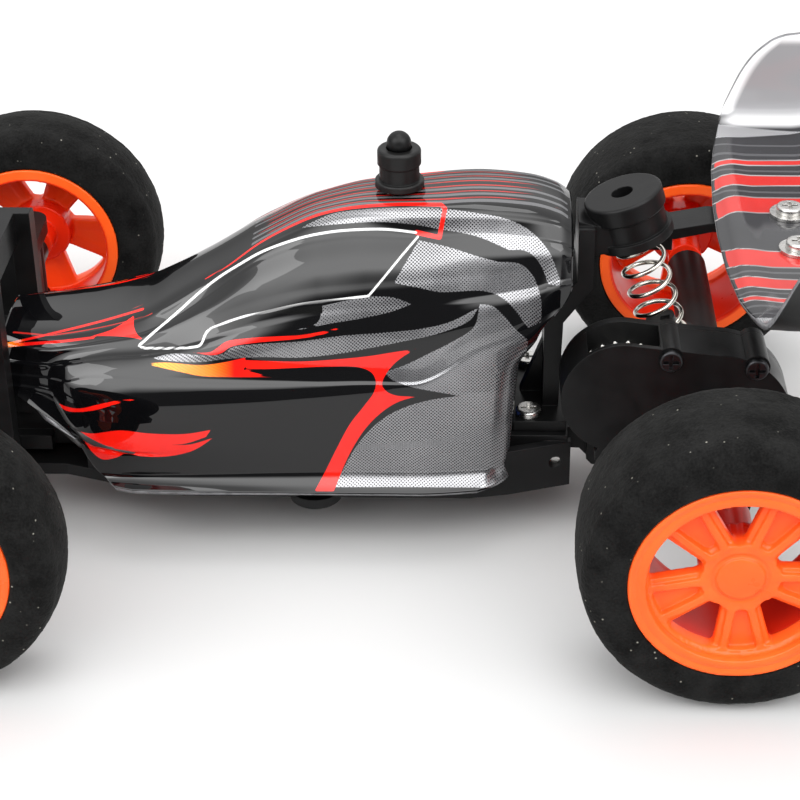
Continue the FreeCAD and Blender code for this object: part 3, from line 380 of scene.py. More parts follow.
# ------------------------------------------------------------------ materials
class Nodes:
    """Small helper for node trees."""

    def __init__(self, name):
        self.mat = bpy.data.materials.new(name)
        self.mat.use_nodes = True
        self.t = self.mat.node_tree
        self.t.nodes.clear()
        self.out = self.t.nodes.new("ShaderNodeOutputMaterial")

    def n(self, kind, **inputs):
        node = self.t.nodes.new(kind)
        for k, v in inputs.items():
            if k.startswith("_"):
                setattr(node, k[1:], v)
        for k, v in inputs.items():
            if not k.startswith("_"):
                self.put(node, k.replace("__", " "), v)
        return node

    def put(self, node, key, v):
        sock = node.inputs[int(key[1:])] if key[0] == "i" and key[1:].isdigit() else node.inputs[key]
        if isinstance(v, bpy.types.NodeSocket):
            self.t.links.new(v, sock)
        else:
            sock.default_value = v

    def math(self, op, a, b=None, c=None):
        node = self.t.nodes.new("ShaderNodeMath")
        node.operation = op
        for i, v in enumerate((a, b, c)):
            if v is not None:
                self.put(node, "i%d" % i, v)
        return node.outputs[0]

    def mix(self, fac, a, b):
        node = self.t.nodes.new("ShaderNodeMix")
        node.data_type = "RGBA"
        self.put(node, "i0", fac)
        for i, v in ((6, a), (7, b)):
            if isinstance(v, bpy.types.NodeSocket):
                self.t.links.new(v, node.inputs[i])
            else:
                node.inputs[i].default_value = v if len(v) == 4 else (*v, 1)
        return node.outputs[2]

    def ramp(self, fac, lo, hi, a=0.0, b=1.0):
        node = self.t.nodes.new("ShaderNodeMapRange")
        node.clamp = True
        self.put(node, "Value", fac)
        for k, v in (("From Min", lo), ("From Max", hi), ("To Min", a), ("To Max", b)):
            node.inputs[k].default_value = v
        return node.outputs[0]

    def noise(self, scale, detail=2.0, rough=0.5, vec=None, kind="ShaderNodeTexNoise"):
        node = self.t.nodes.new(kind)
        node.inputs["Scale"].default_value = scale
        if kind == "ShaderNodeTexNoise":
            node.inputs["Detail"].default_value = detail
            node.inputs["Roughness"].default_value = rough
        self.t.links.new(vec if vec is not None else self.pos(), node.inputs["Vector"])
        return node

    def pos(self):
        if not hasattr(self, "_pos"):
            self._pos = self.t.nodes.new("ShaderNodeTexCoord").outputs["Object"]
        return self._pos

    def attr(self, name, vector=False):
        node = self.t.nodes.new("ShaderNodeAttribute")
        node.attribute_name = name
        return node.outputs["Vector"] if vector else node.outputs["Fac"]

    def bump(self, height, strength, dist, normal=None):
        node = self.t.nodes.new("ShaderNodeBump")
        node.inputs["Strength"].default_value = strength
        node.inputs["Distance"].default_value = dist
        self.t.links.new(height, node.inputs["Height"])
        if normal is not None:
            self.t.links.new(normal, node.inputs["Normal"])
        return node.outputs[0]

    def bevel(self, radius, samples=4):
        node = self.t.nodes.new("ShaderNodeBevel")
        node.samples = samples
        node.inputs["Radius"].default_value = radius
        return node.outputs[0]

    def done(self, **inputs):
        b = self.t.nodes.new("ShaderNodeBsdfPrincipled")
        for k, v in inputs.items():
            key = k.replace("__", " ")
            if isinstance(v, tuple) and len(v) == 3 and b.inputs[key].type == "RGBA":
                v = (*v, 1)
            self.put(b, key, v)
        self.t.links.new(b.outputs[0], self.out.inputs[0])
        return self.mat


def black_plastic(name="satin_black_plastic", base=0.0050, rough=0.36, bevel=0.00018):
    m = Nodes(name)
    fine = m.noise(2600, 3, 0.6)
    broad = m.noise(240, 3, 0.55)
    tone = m.ramp(broad.outputs[0], 0.35, 0.7, base * 0.8, base * 1.35)
    col = m.n("ShaderNodeCombineColor", Red=tone, Green=tone, Blue=m.math("MULTIPLY", tone, 1.04))
    r = m.ramp(broad.outputs[0], 0.3, 0.75, rough - 0.05, rough + 0.09)
    nrm = m.bump(fine.outputs[0], 0.16, 0.00006, m.bevel(bevel))
    return m.done(Base__Color=col.outputs[0], Roughness=r, Normal=nrm, IOR=1.5, Specular__IOR__Level=0.20)


def rubber(name="soft_black_rubber"):
    m = Nodes(name)
    fine = m.noise(1500, 4, 0.7)
    broad = m.noise(300, 2, 0.5)
    tone = m.ramp(broad.outputs[0], 0.3, 0.7, 0.0045, 0.009)
    col = m.n("ShaderNodeCombineColor", Red=tone, Green=tone, Blue=tone)
    nrm = m.bump(fine.outputs[0], 0.25, 0.00008, m.bevel(0.0002))
    return m.done(Base__Color=col.outputs[0], Roughness=m.ramp(broad.outputs[0], 0.3, 0.7, 0.30, 0.46), Normal=nrm, IOR=1.5, Specular__IOR__Level=0.25)


def orange_plastic():
    m = Nodes("orange_plastic")
    broad = m.noise(160, 3, 0.5)
    fine = m.noise(1800, 2, 0.5)
    col = m.mix(m.ramp(broad.outputs[0], 0.35, 0.68), (0.96, 0.100, 0.011), (1.0, 0.122, 0.016))
    # painted shade: the inside of the rim barrel, where shade falls behind the spokes, is painted a deeper red
    col = m.mix(m.attr("deep"), col, (0.74, 0.022, 0.003))
    nrm = m.bump(fine.outputs[0], 0.05, 0.00005)
    return m.done(Base__Color=col, Roughness=m.ramp(broad.outputs[0], 0.3, 0.7, 0.26, 0.36), Normal=nrm, IOR=1.5, Specular__IOR__Level=0.3,
                  Subsurface__Weight=0.10, Subsurface__Radius=(1.0, 0.25, 0.08), Subsurface__Scale=0.0008)


def foam():
    m = Nodes("black_foam_rubber")
    cell = m.noise(2300, 0, 0, kind="ShaderNodeTexVoronoi")
    fine = m.noise(3400, 4, 0.72)
    broad = m.noise(260, 4, 0.6)
    tone = m.ramp(m.math("ADD", m.math("MULTIPLY", broad.outputs[0], 0.55), m.math("MULTIPLY", fine.outputs[0], 0.45)), 0.40, 0.60, 0.0008, 0.0100)
    speck = m.noise(900, 0, 0, kind="ShaderNodeTexVoronoi")
    dot = m.ramp(speck.outputs["Distance"], 0.06, 0.13, 1.0, 0.0)
    pick = m.ramp(m.noise(420, 1, 0.4).outputs[0], 0.54, 0.60)
    dust = m.math("MULTIPLY", dot, pick)
    base = m.n("ShaderNodeCombineColor", Red=tone, Green=tone, Blue=m.math("MULTIPLY", tone, 0.98))
    col = m.mix(m.math("MULTIPLY", dust, 0.75), base.outputs[0], (0.30, 0.29, 0.25))
    h = m.math("ADD", m.math("MULTIPLY", cell.outputs["Distance"], 0.7), m.math("MULTIPLY", fine.outputs[0], 0.6))
    return m.done(Base__Color=col, Roughness=m.ramp(broad.outputs[0], 0.3, 0.7, 0.78, 0.95), Normal=m.bump(h, 0.55, 0.00013),
                  Sheen__Weight=0.07, Sheen__Roughness=0.55, Sheen__Tint=(0.32, 0.32, 0.31, 1), Specular__IOR__Level=0.10)


def plated(name, tint, rough=0.2, scratch=0.25):
    m = Nodes(name)
    broad = m.noise(900, 3, 0.6)
    stretched = m.n("ShaderNodeMapping", Vector=m.pos(), Scale=(400, 4200, 4200))
    lines = m.noise(1.0, 2, 0.5, vec=stretched.outputs[0])
    col = m.mix(m.ramp(broad.outputs[0], 0.3, 0.7), tuple(c * 0.82 for c in tint), tint)
    r = m.ramp(m.math("ADD", m.math("MULTIPLY", broad.outputs[0], 0.6), m.math("MULTIPLY", lines.outputs[0], 0.4)), 0.3, 0.7, rough * 0.7, rough * 1.5)
    return m.done(Base__Color=col, Metallic=1.0, Roughness=r, Normal=m.bump(lines.outputs[0], scratch, 0.00002, m.bevel(0.00012)))


def white_nylon():
    m = Nodes("white_nylon")
    broad = m.noise(380, 3, 0.5)
    col = m.mix(m.ramp(broad.outputs[0], 0.35, 0.7), (0.72, 0.71, 0.67), (0.82, 0.82, 0.79))
    return m.done(Base__Color=col, Roughness=m.ramp(broad.outputs[0], 0.3, 0.7, 0.38, 0.52), Normal=m.bevel(0.0001),
                  Subsurface__Weight=0.15, Subsurface__Radius=(1.0, 0.9, 0.8), Subsurface__Scale=0.0006)


def wrap_film():
    m = Nodes("cell_wrap")
    broad = m.noise(220, 3, 0.6)
    wr = m.noise(700, 3, 0.6)
    col = m.mix(m.ramp(broad.outputs[0], 0.3, 0.7), (0.012, 0.045, 0.26), (0.018, 0.065, 0.34))
    return m.done(Base__Color=col, Roughness=0.22, Normal=m.bump(wr.outputs[0], 0.2, 0.0002, m.bevel(0.0003)), Coat__Weight=0.4)


def board():
    m = Nodes("board_solder_mask")
    a = m.n("ShaderNodeTexBrick", Vector=m.n("ShaderNodeMapping", Vector=m.pos(), Scale=(260, 260, 260)).outputs[0])
    a.offset = 0.3
    a.inputs["Color1"].default_value = (0.010, 0.10, 0.035, 1)
    a.inputs["Color2"].default_value = (0.012, 0.125, 0.045, 1)
    a.inputs["Mortar"].default_value = (0.03, 0.19, 0.07, 1)
    a.inputs["Mortar Size"].default_value = 0.03
    broad = m.noise(500, 2, 0.5)
    return m.done(Base__Color=a.outputs[0], Roughness=m.ramp(broad.outputs[0], 0.3, 0.7, 0.25, 0.4), Normal=m.bevel(0.0001))


def chips():
    m = Nodes("moulded_components")
    broad = m.noise(600, 3, 0.6)
    tone = m.ramp(broad.outputs[0], 0.3, 0.7, 0.014, 0.03)
    col = m.n("ShaderNodeCombineColor", Red=tone, Green=tone, Blue=tone)
    return m.done(Base__Color=col.outputs[0], Roughness=0.5, Normal=m.bump(m.noise(3000, 2, 0.5).outputs[0], 0.2, 0.00005, m.bevel(0.0001)))


def halftone(m, uv, pitch, low, high, shade):
    """Black dots on silver: staggered rows, larger dots where shade is low."""
    sep = m.n("ShaderNodeSeparateXYZ", Vector=uv)
    x, y = sep.outputs[0], sep.outputs[1]
    k = 0.70710678 / pitch
    a = m.math("FRACT", m.math("ADD", m.math("MULTIPLY", m.math("ADD", x, y), k), 500.0))
    b = m.math("FRACT", m.math("ADD", m.math("MULTIPLY", m.math("SUBTRACT", x, y), k), 500.0))
    a = m.math("SUBTRACT", a, 0.5)
    b = m.math("SUBTRACT", b, 0.5)
    d = m.math("SQRT", m.math("ADD", m.math("MULTIPLY", a, a), m.math("MULTIPLY", b, b)))
    rad = m.ramp(shade, 0.0, 1.0, low, high)
    return m.ramp(m.math("SUBTRACT", d, rad), -0.05, 0.05)




def paint(m, col, base, field, soft=0.03):
    return m.mix(m.ramp(field, -soft, soft), base, col)


def printed_shell():
    m = Nodes("printed_clear_sheet")
    uv = m.attr("pattern", True)
    black = (0.0022, 0.0022, 0.0026)
    broad = m.noise(140, 3, 0.6)
    dots = halftone(m, uv, 0.32, 0.44, 0.24, m.attr("shade"))
    silver = m.mix(m.ramp(broad.outputs[0], 0.3, 0.7), (0.23, 0.23, 0.24), (0.31, 0.31, 0.32))
    silver = m.mix(dots, (0.012, 0.012, 0.014), silver)
    is_silver = m.ramp(m.attr("silver"), -0.03, 0.03)
    col = m.mix(is_silver, black, silver)
    # fine red and grey lines along the roof and the hood
    col = paint(m, (0.10, 0.10, 0.105), col, m.attr("grey_stripe"))
    col = paint(m, (0.40, 0.014, 0.010), col, m.attr("top_red"))
    col = paint(m, (0.004, 0.004, 0.004), col, m.attr("black_over"))
    red = m.mix(m.ramp(broad.outputs[0], 0.3, 0.7), (0.66, 0.006, 0.004), (0.80, 0.012, 0.005))
    warm = m.math("MULTIPLY", m.attr("warm"), m.math("ADD", m.math("MULTIPLY", halftone(m, uv, 0.30, 0.40, 0.25, m.attr("shade")), 0.5), 0.5))
    red = m.mix(warm, red, (0.95, 0.40, 0.02))
    col = paint(m, red, col, m.attr("red"))
    col = paint(m, (0.80, 0.80, 0.80), col, m.attr("white"), 0.05)
    metal = m.math("MULTIPLY", m.math("MULTIPLY", is_silver, dots), m.ramp(m.attr("red"), -0.03, 0.03, 0.85, 0.0))
    ripple = m.noise(90, 2, 0.5)
    nrm = m.bump(ripple.outputs[0], 0.05, 0.0010)
    return m.done(Base__Color=col, Metallic=metal, Roughness=m.ramp(broad.outputs[0], 0.3, 0.7, 0.26, 0.36), Normal=nrm, Specular__IOR__Level=0.0,
                  Coat__Weight=1.0, Coat__Roughness=0.02, Coat__IOR=1.5, Coat__Normal=nrm)


def shell_inside():
    m = Nodes("paint_from_inside")
    broad = m.noise(300, 3, 0.6)
    tone = m.ramp(broad.outputs[0], 0.3, 0.7, 0.006, 0.014)
    col = m.n("ShaderNodeCombineColor", Red=tone, Green=tone, Blue=tone)
    return m.done(Base__Color=col.outputs[0], Roughness=m.ramp(broad.outputs[0], 0.3, 0.7, 0.45, 0.65), Normal=m.bump(m.noise(1200, 3, 0.6).outputs[0], 0.2, 0.0001))


def sheet_edge():
    """The cut edge of the clear sheet, light grey: partly the clear material, partly a painted highlight along the
    border.
    """
    m = Nodes("clear_sheet_edge")
    broad = m.noise(700, 2, 0.6)
    # painted highlight: the light grey also stands in for the highlight line along the sheet's border
    col = m.mix(m.ramp(broad.outputs[0], 0.3, 0.7), (0.10, 0.10, 0.105), (0.22, 0.22, 0.23))
    return m.done(Base__Color=col, Roughness=0.3, IOR=1.5)


def printed_wing():
    m = Nodes("printed_wing_sheet")
    uv = m.attr("pattern", True)
    broad = m.noise(140, 3, 0.6)
    col = m.mix(m.ramp(broad.outputs[0], 0.3, 0.7), (0.016, 0.016, 0.018), (0.022, 0.022, 0.025))
    dots = halftone(m, uv, 0.32, 0.44, 0.20, m.attr("shade"))
    silver = m.mix(dots, (0.05, 0.05, 0.052), (0.30, 0.30, 0.31))
    col = m.mix(m.ramp(m.attr("silver"), -0.03, 0.03), col, silver)
    col = paint(m, (0.062, 0.062, 0.066), col, m.attr("grey_stripe"))
    col = paint(m, (0.30, 0.27, 0.27), col, m.attr("white"), 0.05)
    red = m.mix(m.ramp(broad.outputs[0], 0.3, 0.7), (0.40, 0.012, 0.009), (0.47, 0.017, 0.012))
    col = paint(m, red, col, m.attr("red"))
    # painted reflection: end plates lightened, and the clear border and bend strip painted near white for the bright
    # backdrop
    col = m.mix(m.attr("plate"), col, (0.30, 0.30, 0.31))
    col = m.mix(m.attr("clear"), col, (0.80, 0.80, 0.81))
    nrm = m.bump(m.noise(90, 2, 0.5).outputs[0], 0.05, 0.0010)
    return m.done(Base__Color=col, Roughness=m.ramp(broad.outputs[0], 0.3, 0.7, 0.28, 0.37), Normal=nrm, Specular__IOR__Level=0.0,
                  Coat__Weight=1.0, Coat__Roughness=0.07, Coat__IOR=1.5, Coat__Normal=nrm)


BLACK_ABS = black_plastic()
RUBBER = rubber()
ORANGE = orange_plastic()
FOAM = foam()
SCREW = plated("zinc_plate", (0.62, 0.61, 0.59), 0.24, 0.2)
SPRINGM = plated("nickel_plated_wire", (0.74, 0.70, 0.63), 0.13, 0.1)
CAN = plated("motor_can_plate", (0.52, 0.53, 0.55), 0.28, 0.35)
BRONZE = plated("sintered_bronze", (0.62, 0.42, 0.16), 0.38, 0.4)
NYLON = white_nylon()
DARK_SCREW = plated("black_oxide_steel", (0.045, 0.045, 0.048), 0.34, 0.3)
WRAP = wrap_film()
BOARD = board()
CHIPS = chips()
SHELL_OUT, SHELL_IN, EDGE = printed_shell(), shell_inside(), sheet_edge()
WING_M = printed_wing()
SLOT_MATS = {"black_plastic": BLACK_ABS, "rubber_black": RUBBER, "screw_steel": SCREW, "spring_steel": SPRINGM, "motor_can": CAN,
             "brass_bush": BRONZE, "white_plastic": NYLON, "battery_wrap": WRAP, "board_green": BOARD, "board_chips": CHIPS,
             "printed_shell": SHELL_OUT, "printed_wing": WING_M, "orange_plastic": ORANGE, "foam_tyre": FOAM}
for part in frame["record"]["subparts"]:
    o = NODES[part["node"]]
    mat = SLOT_MATS[part["material_slot"]]
    for s in o.material_slots:
        s.material = mat
    if not o.material_slots:
        o.data.materials.append(mat)
for name in ("cover_screws",):
    for s in NODES[name].material_slots:
        s.material = DARK_SCREW

# ------------------------------------------------------------------ body shell surface
# Half sections from the nose to the tail: X, then (Y, Z) at the crown, roof edge, window top, window base, pod top,
# pod shoulder and lower edge.
SECT = [
    (43.2, [(0, 27.4), (4.6, 27.0), (5.6, 26.5), (6.6, 24.6), (7.4, 22.8), (7.9, 21.6), (8.0, 20.2)]),
    (37.0, [(0, 27.8), (5.6, 27.4), (7.3, 26.6), (8.2, 24.8), (9.0, 23.2), (9.7, 21.8), (9.9, 19.6)]),
    (34.0, [(0, 28.2), (5.8, 27.8), (7.5, 27.0), (8.8, 25.4), (10.9, 24.2), (12.3, 22.2), (12.5, 12.0)]),
    (31.0, [(0, 28.8), (5.8, 28.4), (7.6, 27.6), (9.2, 26.0), (11.4, 25.2), (13.8, 21.4), (13.9, 10.0)]),
    (28.0, [(0, 29.6), (5.8, 29.2), (7.6, 28.2), (9.4, 26.6), (11.9, 25.6), (14.6, 21.4), (14.6, 10.0)]),
    (25.0, [(0, 30.8), (5.6, 30.2), (7.5, 28.9), (9.5, 27.0), (12.2, 25.8), (14.9, 21.5), (14.9, 10.0)]),
    (21.5, [(0, 32.8), (5.2, 32.0), (6.9, 30.2), (9.5, 28.0), (12.5, 25.8), (15.1, 21.7), (15.0, 10.0)]),
    (17.0, [(0, 35.4), (4.6, 34.7), (6.2, 33.0), (9.6, 29.6), (12.8, 25.8), (15.2, 22.0), (15.1, 10.0)]),
    (9.0, [(0, 40.1), (4.2, 39.7), (6.0, 38.9), (10.4, 32.9), (13.2, 25.9), (15.3, 22.6), (15.1, 10.0)]),
    (2.0, [(0, 43.5), (4.0, 43.2), (6.0, 41.6), (11.0, 34.8), (13.5, 26.0), (15.2, 23.2), (15.1, 10.0)]),
    (-4.0, [(0, 44.9), (4.6, 44.6), (6.2, 42.4), (11.3, 35.6), (13.7, 26.2), (15.1, 23.6), (15.1, 10.0)]),
    (-10.0, [(0, 45.4), (5.4, 45.0), (6.6, 42.4), (11.3, 36.2), (14.1, 26.2), (15.0, 24.0), (15.1, 10.0)]),
    (-18.0, [(0, 46.0), (5.9, 45.4), (7.2, 43.2), (11.0, 37.0), (13.6, 31.0), (14.3, 27.0), (14.3, 10.0)]),
    (-24.0, [(0, 45.6), (5.8, 44.9), (7.2, 42.8), (10.2, 37.6), (12.4, 33.0), (13.2, 29.0), (13.2, 10.0)]),
    (-28.0, [(0, 44.4), (5.4, 43.8), (6.8, 42.0), (9.0, 38.2), (10.6, 35.0), (11.4, 32.0), (11.6, 10.0)]),
    (-29.6, [(0, 43.2), (5.0, 42.6), (6.4, 41.0), (8.2, 38.0), (9.6, 35.0), (10.4, 32.0), (10.6, 10.0)]),
]
SIDE_REAR = [(-22.0, 9.9), (-23.2, 13.0), (-23.5, 17.0), (-24.0, 24.0), (-24.7, 28.6), (-25.6, 31.4), (-27.0, 33.2),
             (-28.8, 34.6), (-29.6, 36.4), (-29.6, 46)]
SIDE_FRONT = [(28.3, 10.0), (30.2, 11.0), (31.4, 12.4), (33.6, 16.4), (35.2, 18.2), (36.6, 19.6), (38.6, 19.9), (43.2, 20.2)]
CORNER = [0, 1.1, 0.9, 1.6, 1.5, 2.0, 0]     # how far each crease is rounded
BELLY = [0, 0.10, 0.35, 0.35, 0.15, 0.30]    # how far each panel between creases is crowned
PANEL_N, CORNER_N, SIDE_ROWS = 17, 9, 64


def shell_rows(X):
    """Points of the half section at each X: (len(X), rows, 2) of Y and Z, from the crown down."""
    xs = np.array([s[0] for s in SECT])[::-1]
    T = np.array([[c for p in s[1] for c in p] for s in SECT], float)[::-1]
    C = pchip(xs, T, X).reshape(len(X), 7, 2)
    D = np.diff(C, axis=1)
    L = np.linalg.norm(D, axis=2)
    D = D / L[:, :, None]
    arm = [np.minimum(np.minimum(np.full(len(X), CORNER[i]), 0.46 * L[:, max(0, i - 1)]), 0.46 * L[:, min(5, i)]) for i in range(7)]
    rows = []
    for k in range(6):
        a0, a1 = arm[k] / L[:, k], 1 - arm[k + 1] / L[:, k]
        for i in range(PANEL_N):
            t = a0 + (a1 - a0) * i / (PANEL_N - 1)
            p = C[:, k] + (C[:, k + 1] - C[:, k]) * t[:, None]
            if k == 0:
                drop = C[:, 0, 1] - C[:, 1, 1]
                p = p + np.stack([np.zeros(len(X)), drop * t * (1 - t)], 1)
            else:
                out = np.stack([-D[:, k, 1], D[:, k, 0]], 1)
                p = p + out * (BELLY[k] * np.sin(np.pi * t) ** 2)[:, None]
            rows.append(p)
        if k < 5:
            c = C[:, k + 1]
            s = rows[-1]
            e = c + D[:, k + 1] * arm[k + 1][:, None]
            for i in range(1, CORNER_N):
                t = i / CORNER_N
                rows.append(s * (1 - t) ** 2 + c * 2 * t * (1 - t) + e * t * t)
    return np.stack(rows, 1)


def shell_grid(nu):
    """Outer surface of the left half, trimmed at the nose and the tail: (nu, rows, 3)."""
    fine = np.linspace(-29.6, 43.2, 900)
    R = shell_rows(fine)
    sr, sf = np.array(SIDE_REAR), np.array(SIDE_FRONT)
    zs = np.linspace(8, 48, 400)
    xr = pchip(sr[:, 1], sr[:, 0], np.clip(zs, sr[0, 1], sr[-1, 1]))
    xf = np.where(zs > sf[-1, 1], 43.2, pchip(sf[:, 1], sf[:, 0], np.clip(zs, sf[0, 1], sf[-1, 1])))
    nrow = R.shape[1]
    lo, hi = np.zeros(nrow), np.zeros(nrow)
    for j in range(nrow):
        z = R[:, j, 1]
        g = fine - np.interp(z, zs, xr)
        mid = len(fine) // 2
        k = mid - np.argmax(g[:mid][::-1] < 0) if (g[:mid] < 0).any() else 0
        lo[j] = fine[0] if k == 0 else np.interp(0, [g[k - 1], g[k]], [fine[k - 1], fine[k]])
        g = np.interp(z, zs, xf) - fine
        w = g[mid:] < 0
        if w.any():
            k = mid + np.argmax(w)
            hi[j] = np.interp(0, [g[k], g[k - 1]], [fine[k], fine[k - 1]])
        else:
            hi[j] = fine[-1]
    u = np.linspace(0, 1, nu)
    XX = lo[None, :] + (hi - lo)[None, :] * u[:, None]
    P = np.zeros((nu, nrow, 3))
    P[:, :, 0] = XX
    for j in range(nrow):
        P[:, j, 1] = np.interp(XX[:, j], fine, R[:, j, 0])
        P[:, j, 2] = np.interp(XX[:, j], fine, R[:, j, 1])
    # the side panel gets finer rows, a rounded rear corner and a lip that flares out along its lower edge
    k = 5 * (PANEL_N + CORNER_N - 1)
    top, side = P[:, :k], P[:, k:]
    m, n = side.shape[1], SIDE_ROWS
    t = np.linspace(0, m - 1, n)
    i = np.minimum(t.astype(int), m - 2)
    side = side[:, i] + (side[:, i + 1] - side[:, i]) * (t - i)[None, :, None]
    P = np.concatenate([top, side], axis=1)
    Z, X = P[..., 2], P[..., 0]
    low = np.clip((31.0 - Z) / 5.0, 0, 1)
    low = low * low * (3 - 2 * low)
    rear = X[:1]
    d = X - rear
    r = 3.4
    turn = np.clip(1 - d / r, 0, 1)
    P[..., 1] -= low * 2.6 * (1 - np.sqrt(1 - 0.985 * turn ** 2))
    P[..., 0] += low * 1.1 * np.clip(1 - d / 9.0, 0, 1) ** 1.5
    edge = P[:, -1:, :]
    s = np.linalg.norm(P - edge, axis=2)
    on_side = np.zeros(s.shape)
    on_side[:, k - 4:] = 1
    flare = 2.0 * np.clip(1 - s / 2.7, 0, 1) ** 1.4 * on_side
    front = np.clip((X - 26.0) / 8.0, 0, 1)
    flare = flare * (1 - 0.75 * front)
    P[..., 1] += flare * (1 - 0.6 * low * turn)
    P[..., 0] -= flare * low * turn * 0.6
    P[..., 2] += 0.45 * np.clip(1 - s / 2.7, 0, 1) * on_side
    return P


def decal(P):
    """Coordinates that the side print is drawn in: X, and height seen from 31 degrees above the side."""
    return np.stack([P[..., 0], 0.857 * P[..., 2] - 0.515 * np.abs(P[..., 1])], -1)

# The print on the sides: outlines in decal coordinates (X, height from 31 degrees above). A third value marks a corner.
RED = [
    [(11.66, 16.99, 1), (4.12, 16.86), (-0.89, 17.2), (-4.63, 17.6), (-7.36, 18.05), (-10.34, 18.5, 1), (-8.85, 17.63), (-7.6, 16.64), (-6.6, 15.39), (-6.09, 14.15), (-6.6, 13.28), (-7.85, 12.73), (-10.34, 12.63, 1), (-8.09, 11.92), (-6.07, 10.65), (-4.02, 8.62), (-2.45, 6.31), (-1.09, 3.71), (0.19, 0.49, 1), (2.62, 0.47, 1), (1.22, 3.17), (-0.42, 6.29), (-2.02, 9.1), (-3.83, 11.38), (-5.11, 13.14), (-5.35, 14.39), (-4.85, 15.5), (-3.36, 16.17), (0.38, 16.27), (5.38, 16.04), (8.9, 15.89), (10.91, 15.94, 1)],   # main spear
    [(24.04, 16.48, 1), (21.21, 16.62), (16.73, 16.33), (13.94, 16.66), (11.02, 17.31, 1), (11.29, 15.75, 1), (7.65, 14.9, 1), (12.92, 14.86), (16.7, 14.96), (19.24, 15.44), (21.81, 15.98)],   # flame
    [(17.68, 17.9, 1), (15.49, 17.97), (14.49, 18.6), (13.48, 19.29), (10.4, 19.74), (4.07, 20.13), (1.32, 20.57), (-1.68, 21.27, 1), (1.32, 20.2), (4.07, 19.7), (10.13, 19.11), (12.94, 18.61), (13.95, 17.91), (15.23, 17.59)],   # line3
    [(33.1, 7.85, 1), (31.02, 7.56), (27.24, 8), (23.39, 7.65), (18.92, 7.64), (15.58, 8.18, 1), (16.27, 7.28, 1), (18.62, 6.49), (20.69, 6.21, 1), (18.38, 6.3), (15.39, 7.16, 1), (17.12, 5.99), (18.72, 5.26), (21.72, 4.71), (24.94, 4.74), (26.73, 5.11), (27.84, 4.57), (29.76, 4.21), (30.54, 4.52), (31.77, 5.8)],   # low flame
    [(31.19, 19.98, 1), (28.61, 20.82), (27.13, 21.73), (25.9, 22.64, 1), (25.72, 21.15), (25.27, 20.25), (24, 19.35, 1), (25.84, 19.79), (28.54, 19.98)],   # hood wedge
    [(36.25, 11.65, 1), (34.4, 10.97), (32.39, 10.74), (29.87, 11.27), (27.2, 11.8), (24.61, 12.01, 1), (27.23, 11.42), (29.93, 10.64), (32.43, 10.29), (34.47, 10.45)],   # front smear
]
SILVER = [
    [(4.28, 33.48, 1), (0.52, 35.15), (-2.25, 35.61), (-8.23, 35.87), (-13.31, 35.78), (-18.11, 35.14), (-20.56, 34.72), (-23.02, 33.83), (-24.87, 32.57), (-26.48, 30.74), (-27.49, 28.56), (-28.01, 26.48), (-26.53, 26.59, 1), (-26.02, 28.05), (-25.01, 29.73), (-23.53, 30.63), (-21.7, 30.67, 1), (-20.34, 31.28), (-18.13, 32.19), (-15.67, 32.81), (-13.33, 33.19), (-10.49, 33.75), (-5.78, 34.13), (-0.79, 33.9)],   # roof band
    [(-10.63, 31.9, 1), (-14.46, 30.95), (-18.15, 29.78), (-20.61, 29.19), (-21.46, 29.2, 1), (-23.06, 28.97), (-24.3, 28.02), (-25.05, 26.81), (-25.68, 24.61), (-25.73, 21.93, 1), (-24.13, 21.18, 1), (-22.38, 23.47), (-20.65, 24.98), (-18.68, 25.64), (-13.28, 25.49), (-10.82, 25.96), (-7.61, 26.57, 1)],   # flag
    [(1.31, 23.71, 1), (-1.56, 24.33), (-4.41, 24.83), (-7.37, 24.79), (-9.84, 24.01, 1), (-7.13, 23.01), (-3.42, 22.2), (0.32, 21.56), (4.57, 20.75), (1.81, 21.74)],   # below window
    [(23.2, 17.11, 1), (20.4, 17.76), (16.12, 17.53), (13.82, 17.79), (12.68, 18.54), (9.88, 18.93), (4.08, 19.33), (-0.92, 20.03), (-5.89, 20.43), (-10.84, 20.95), (-14.54, 21.82), (-17.96, 23.55, 1), (-16.99, 22.08), (-13.31, 20.48), (-8.36, 19.34), (-4.64, 18.58), (-0.9, 17.88), (4.11, 17.35), (9.13, 17.38), (13.69, 17.1), (16.74, 16.71), (20.58, 16.81)],   # mid strip
    [(-18.2, 24.04, 1), (-19.68, 23.81), (-21.16, 22.6), (-22.66, 20.92), (-24.15, 19.71, 1), (-23.75, 16.03), (-23.35, 10.96), (-23.23, 5.86), (-22.76, 2.22), (-21.72, 1.1, 1), (-10.76, 1.11), (0.21, 1, 1), (-1.08, 3.45), (-2.7, 6.18), (-4.52, 8.37), (-6.81, 10.22), (-9.58, 11.5), (-12.82, 12.34), (-16.18, 12.74, 1), (-13.32, 13.15), (-9.6, 13.86), (-7.34, 14.72), (-6.35, 15.64, 1), (-8.84, 16.46), (-12.07, 18.02), (-14.79, 19.39), (-17.49, 21.23)],   # rear side
]
BLACK = [
    [(8.9, 22.91, 1), (4.08, 23.53), (1.31, 23.78, 1), (1.19, 22.79, 1), (4.58, 22.66)],   # scoop
]
RED_LINES = [
    ([(16.6, 27.26), (13.49, 28.94), (9.37, 31.8), (5.62, 33.73), (2.06, 35.15), (-0.71, 35.78), (-3.73, 36.14), (-8.21, 36.38), (-13.29, 36.29, 1), (-13.8, 35.78, 1), (-13.15, 32.21, 1), (-10.34, 32.84, 1)], 0.13, 0.61),   # pin
    ([(44.74, 18.46), (40.74, 18.86), (35.4, 19.26), (30.91, 19.79)], 0.48, 0.29),   # hood low
    ([(44.74, 18.53), (40.78, 19.31), (35.6, 20.56), (30.44, 21.88), (24.79, 23.49)], 0.29, 0.32),   # hood side
]
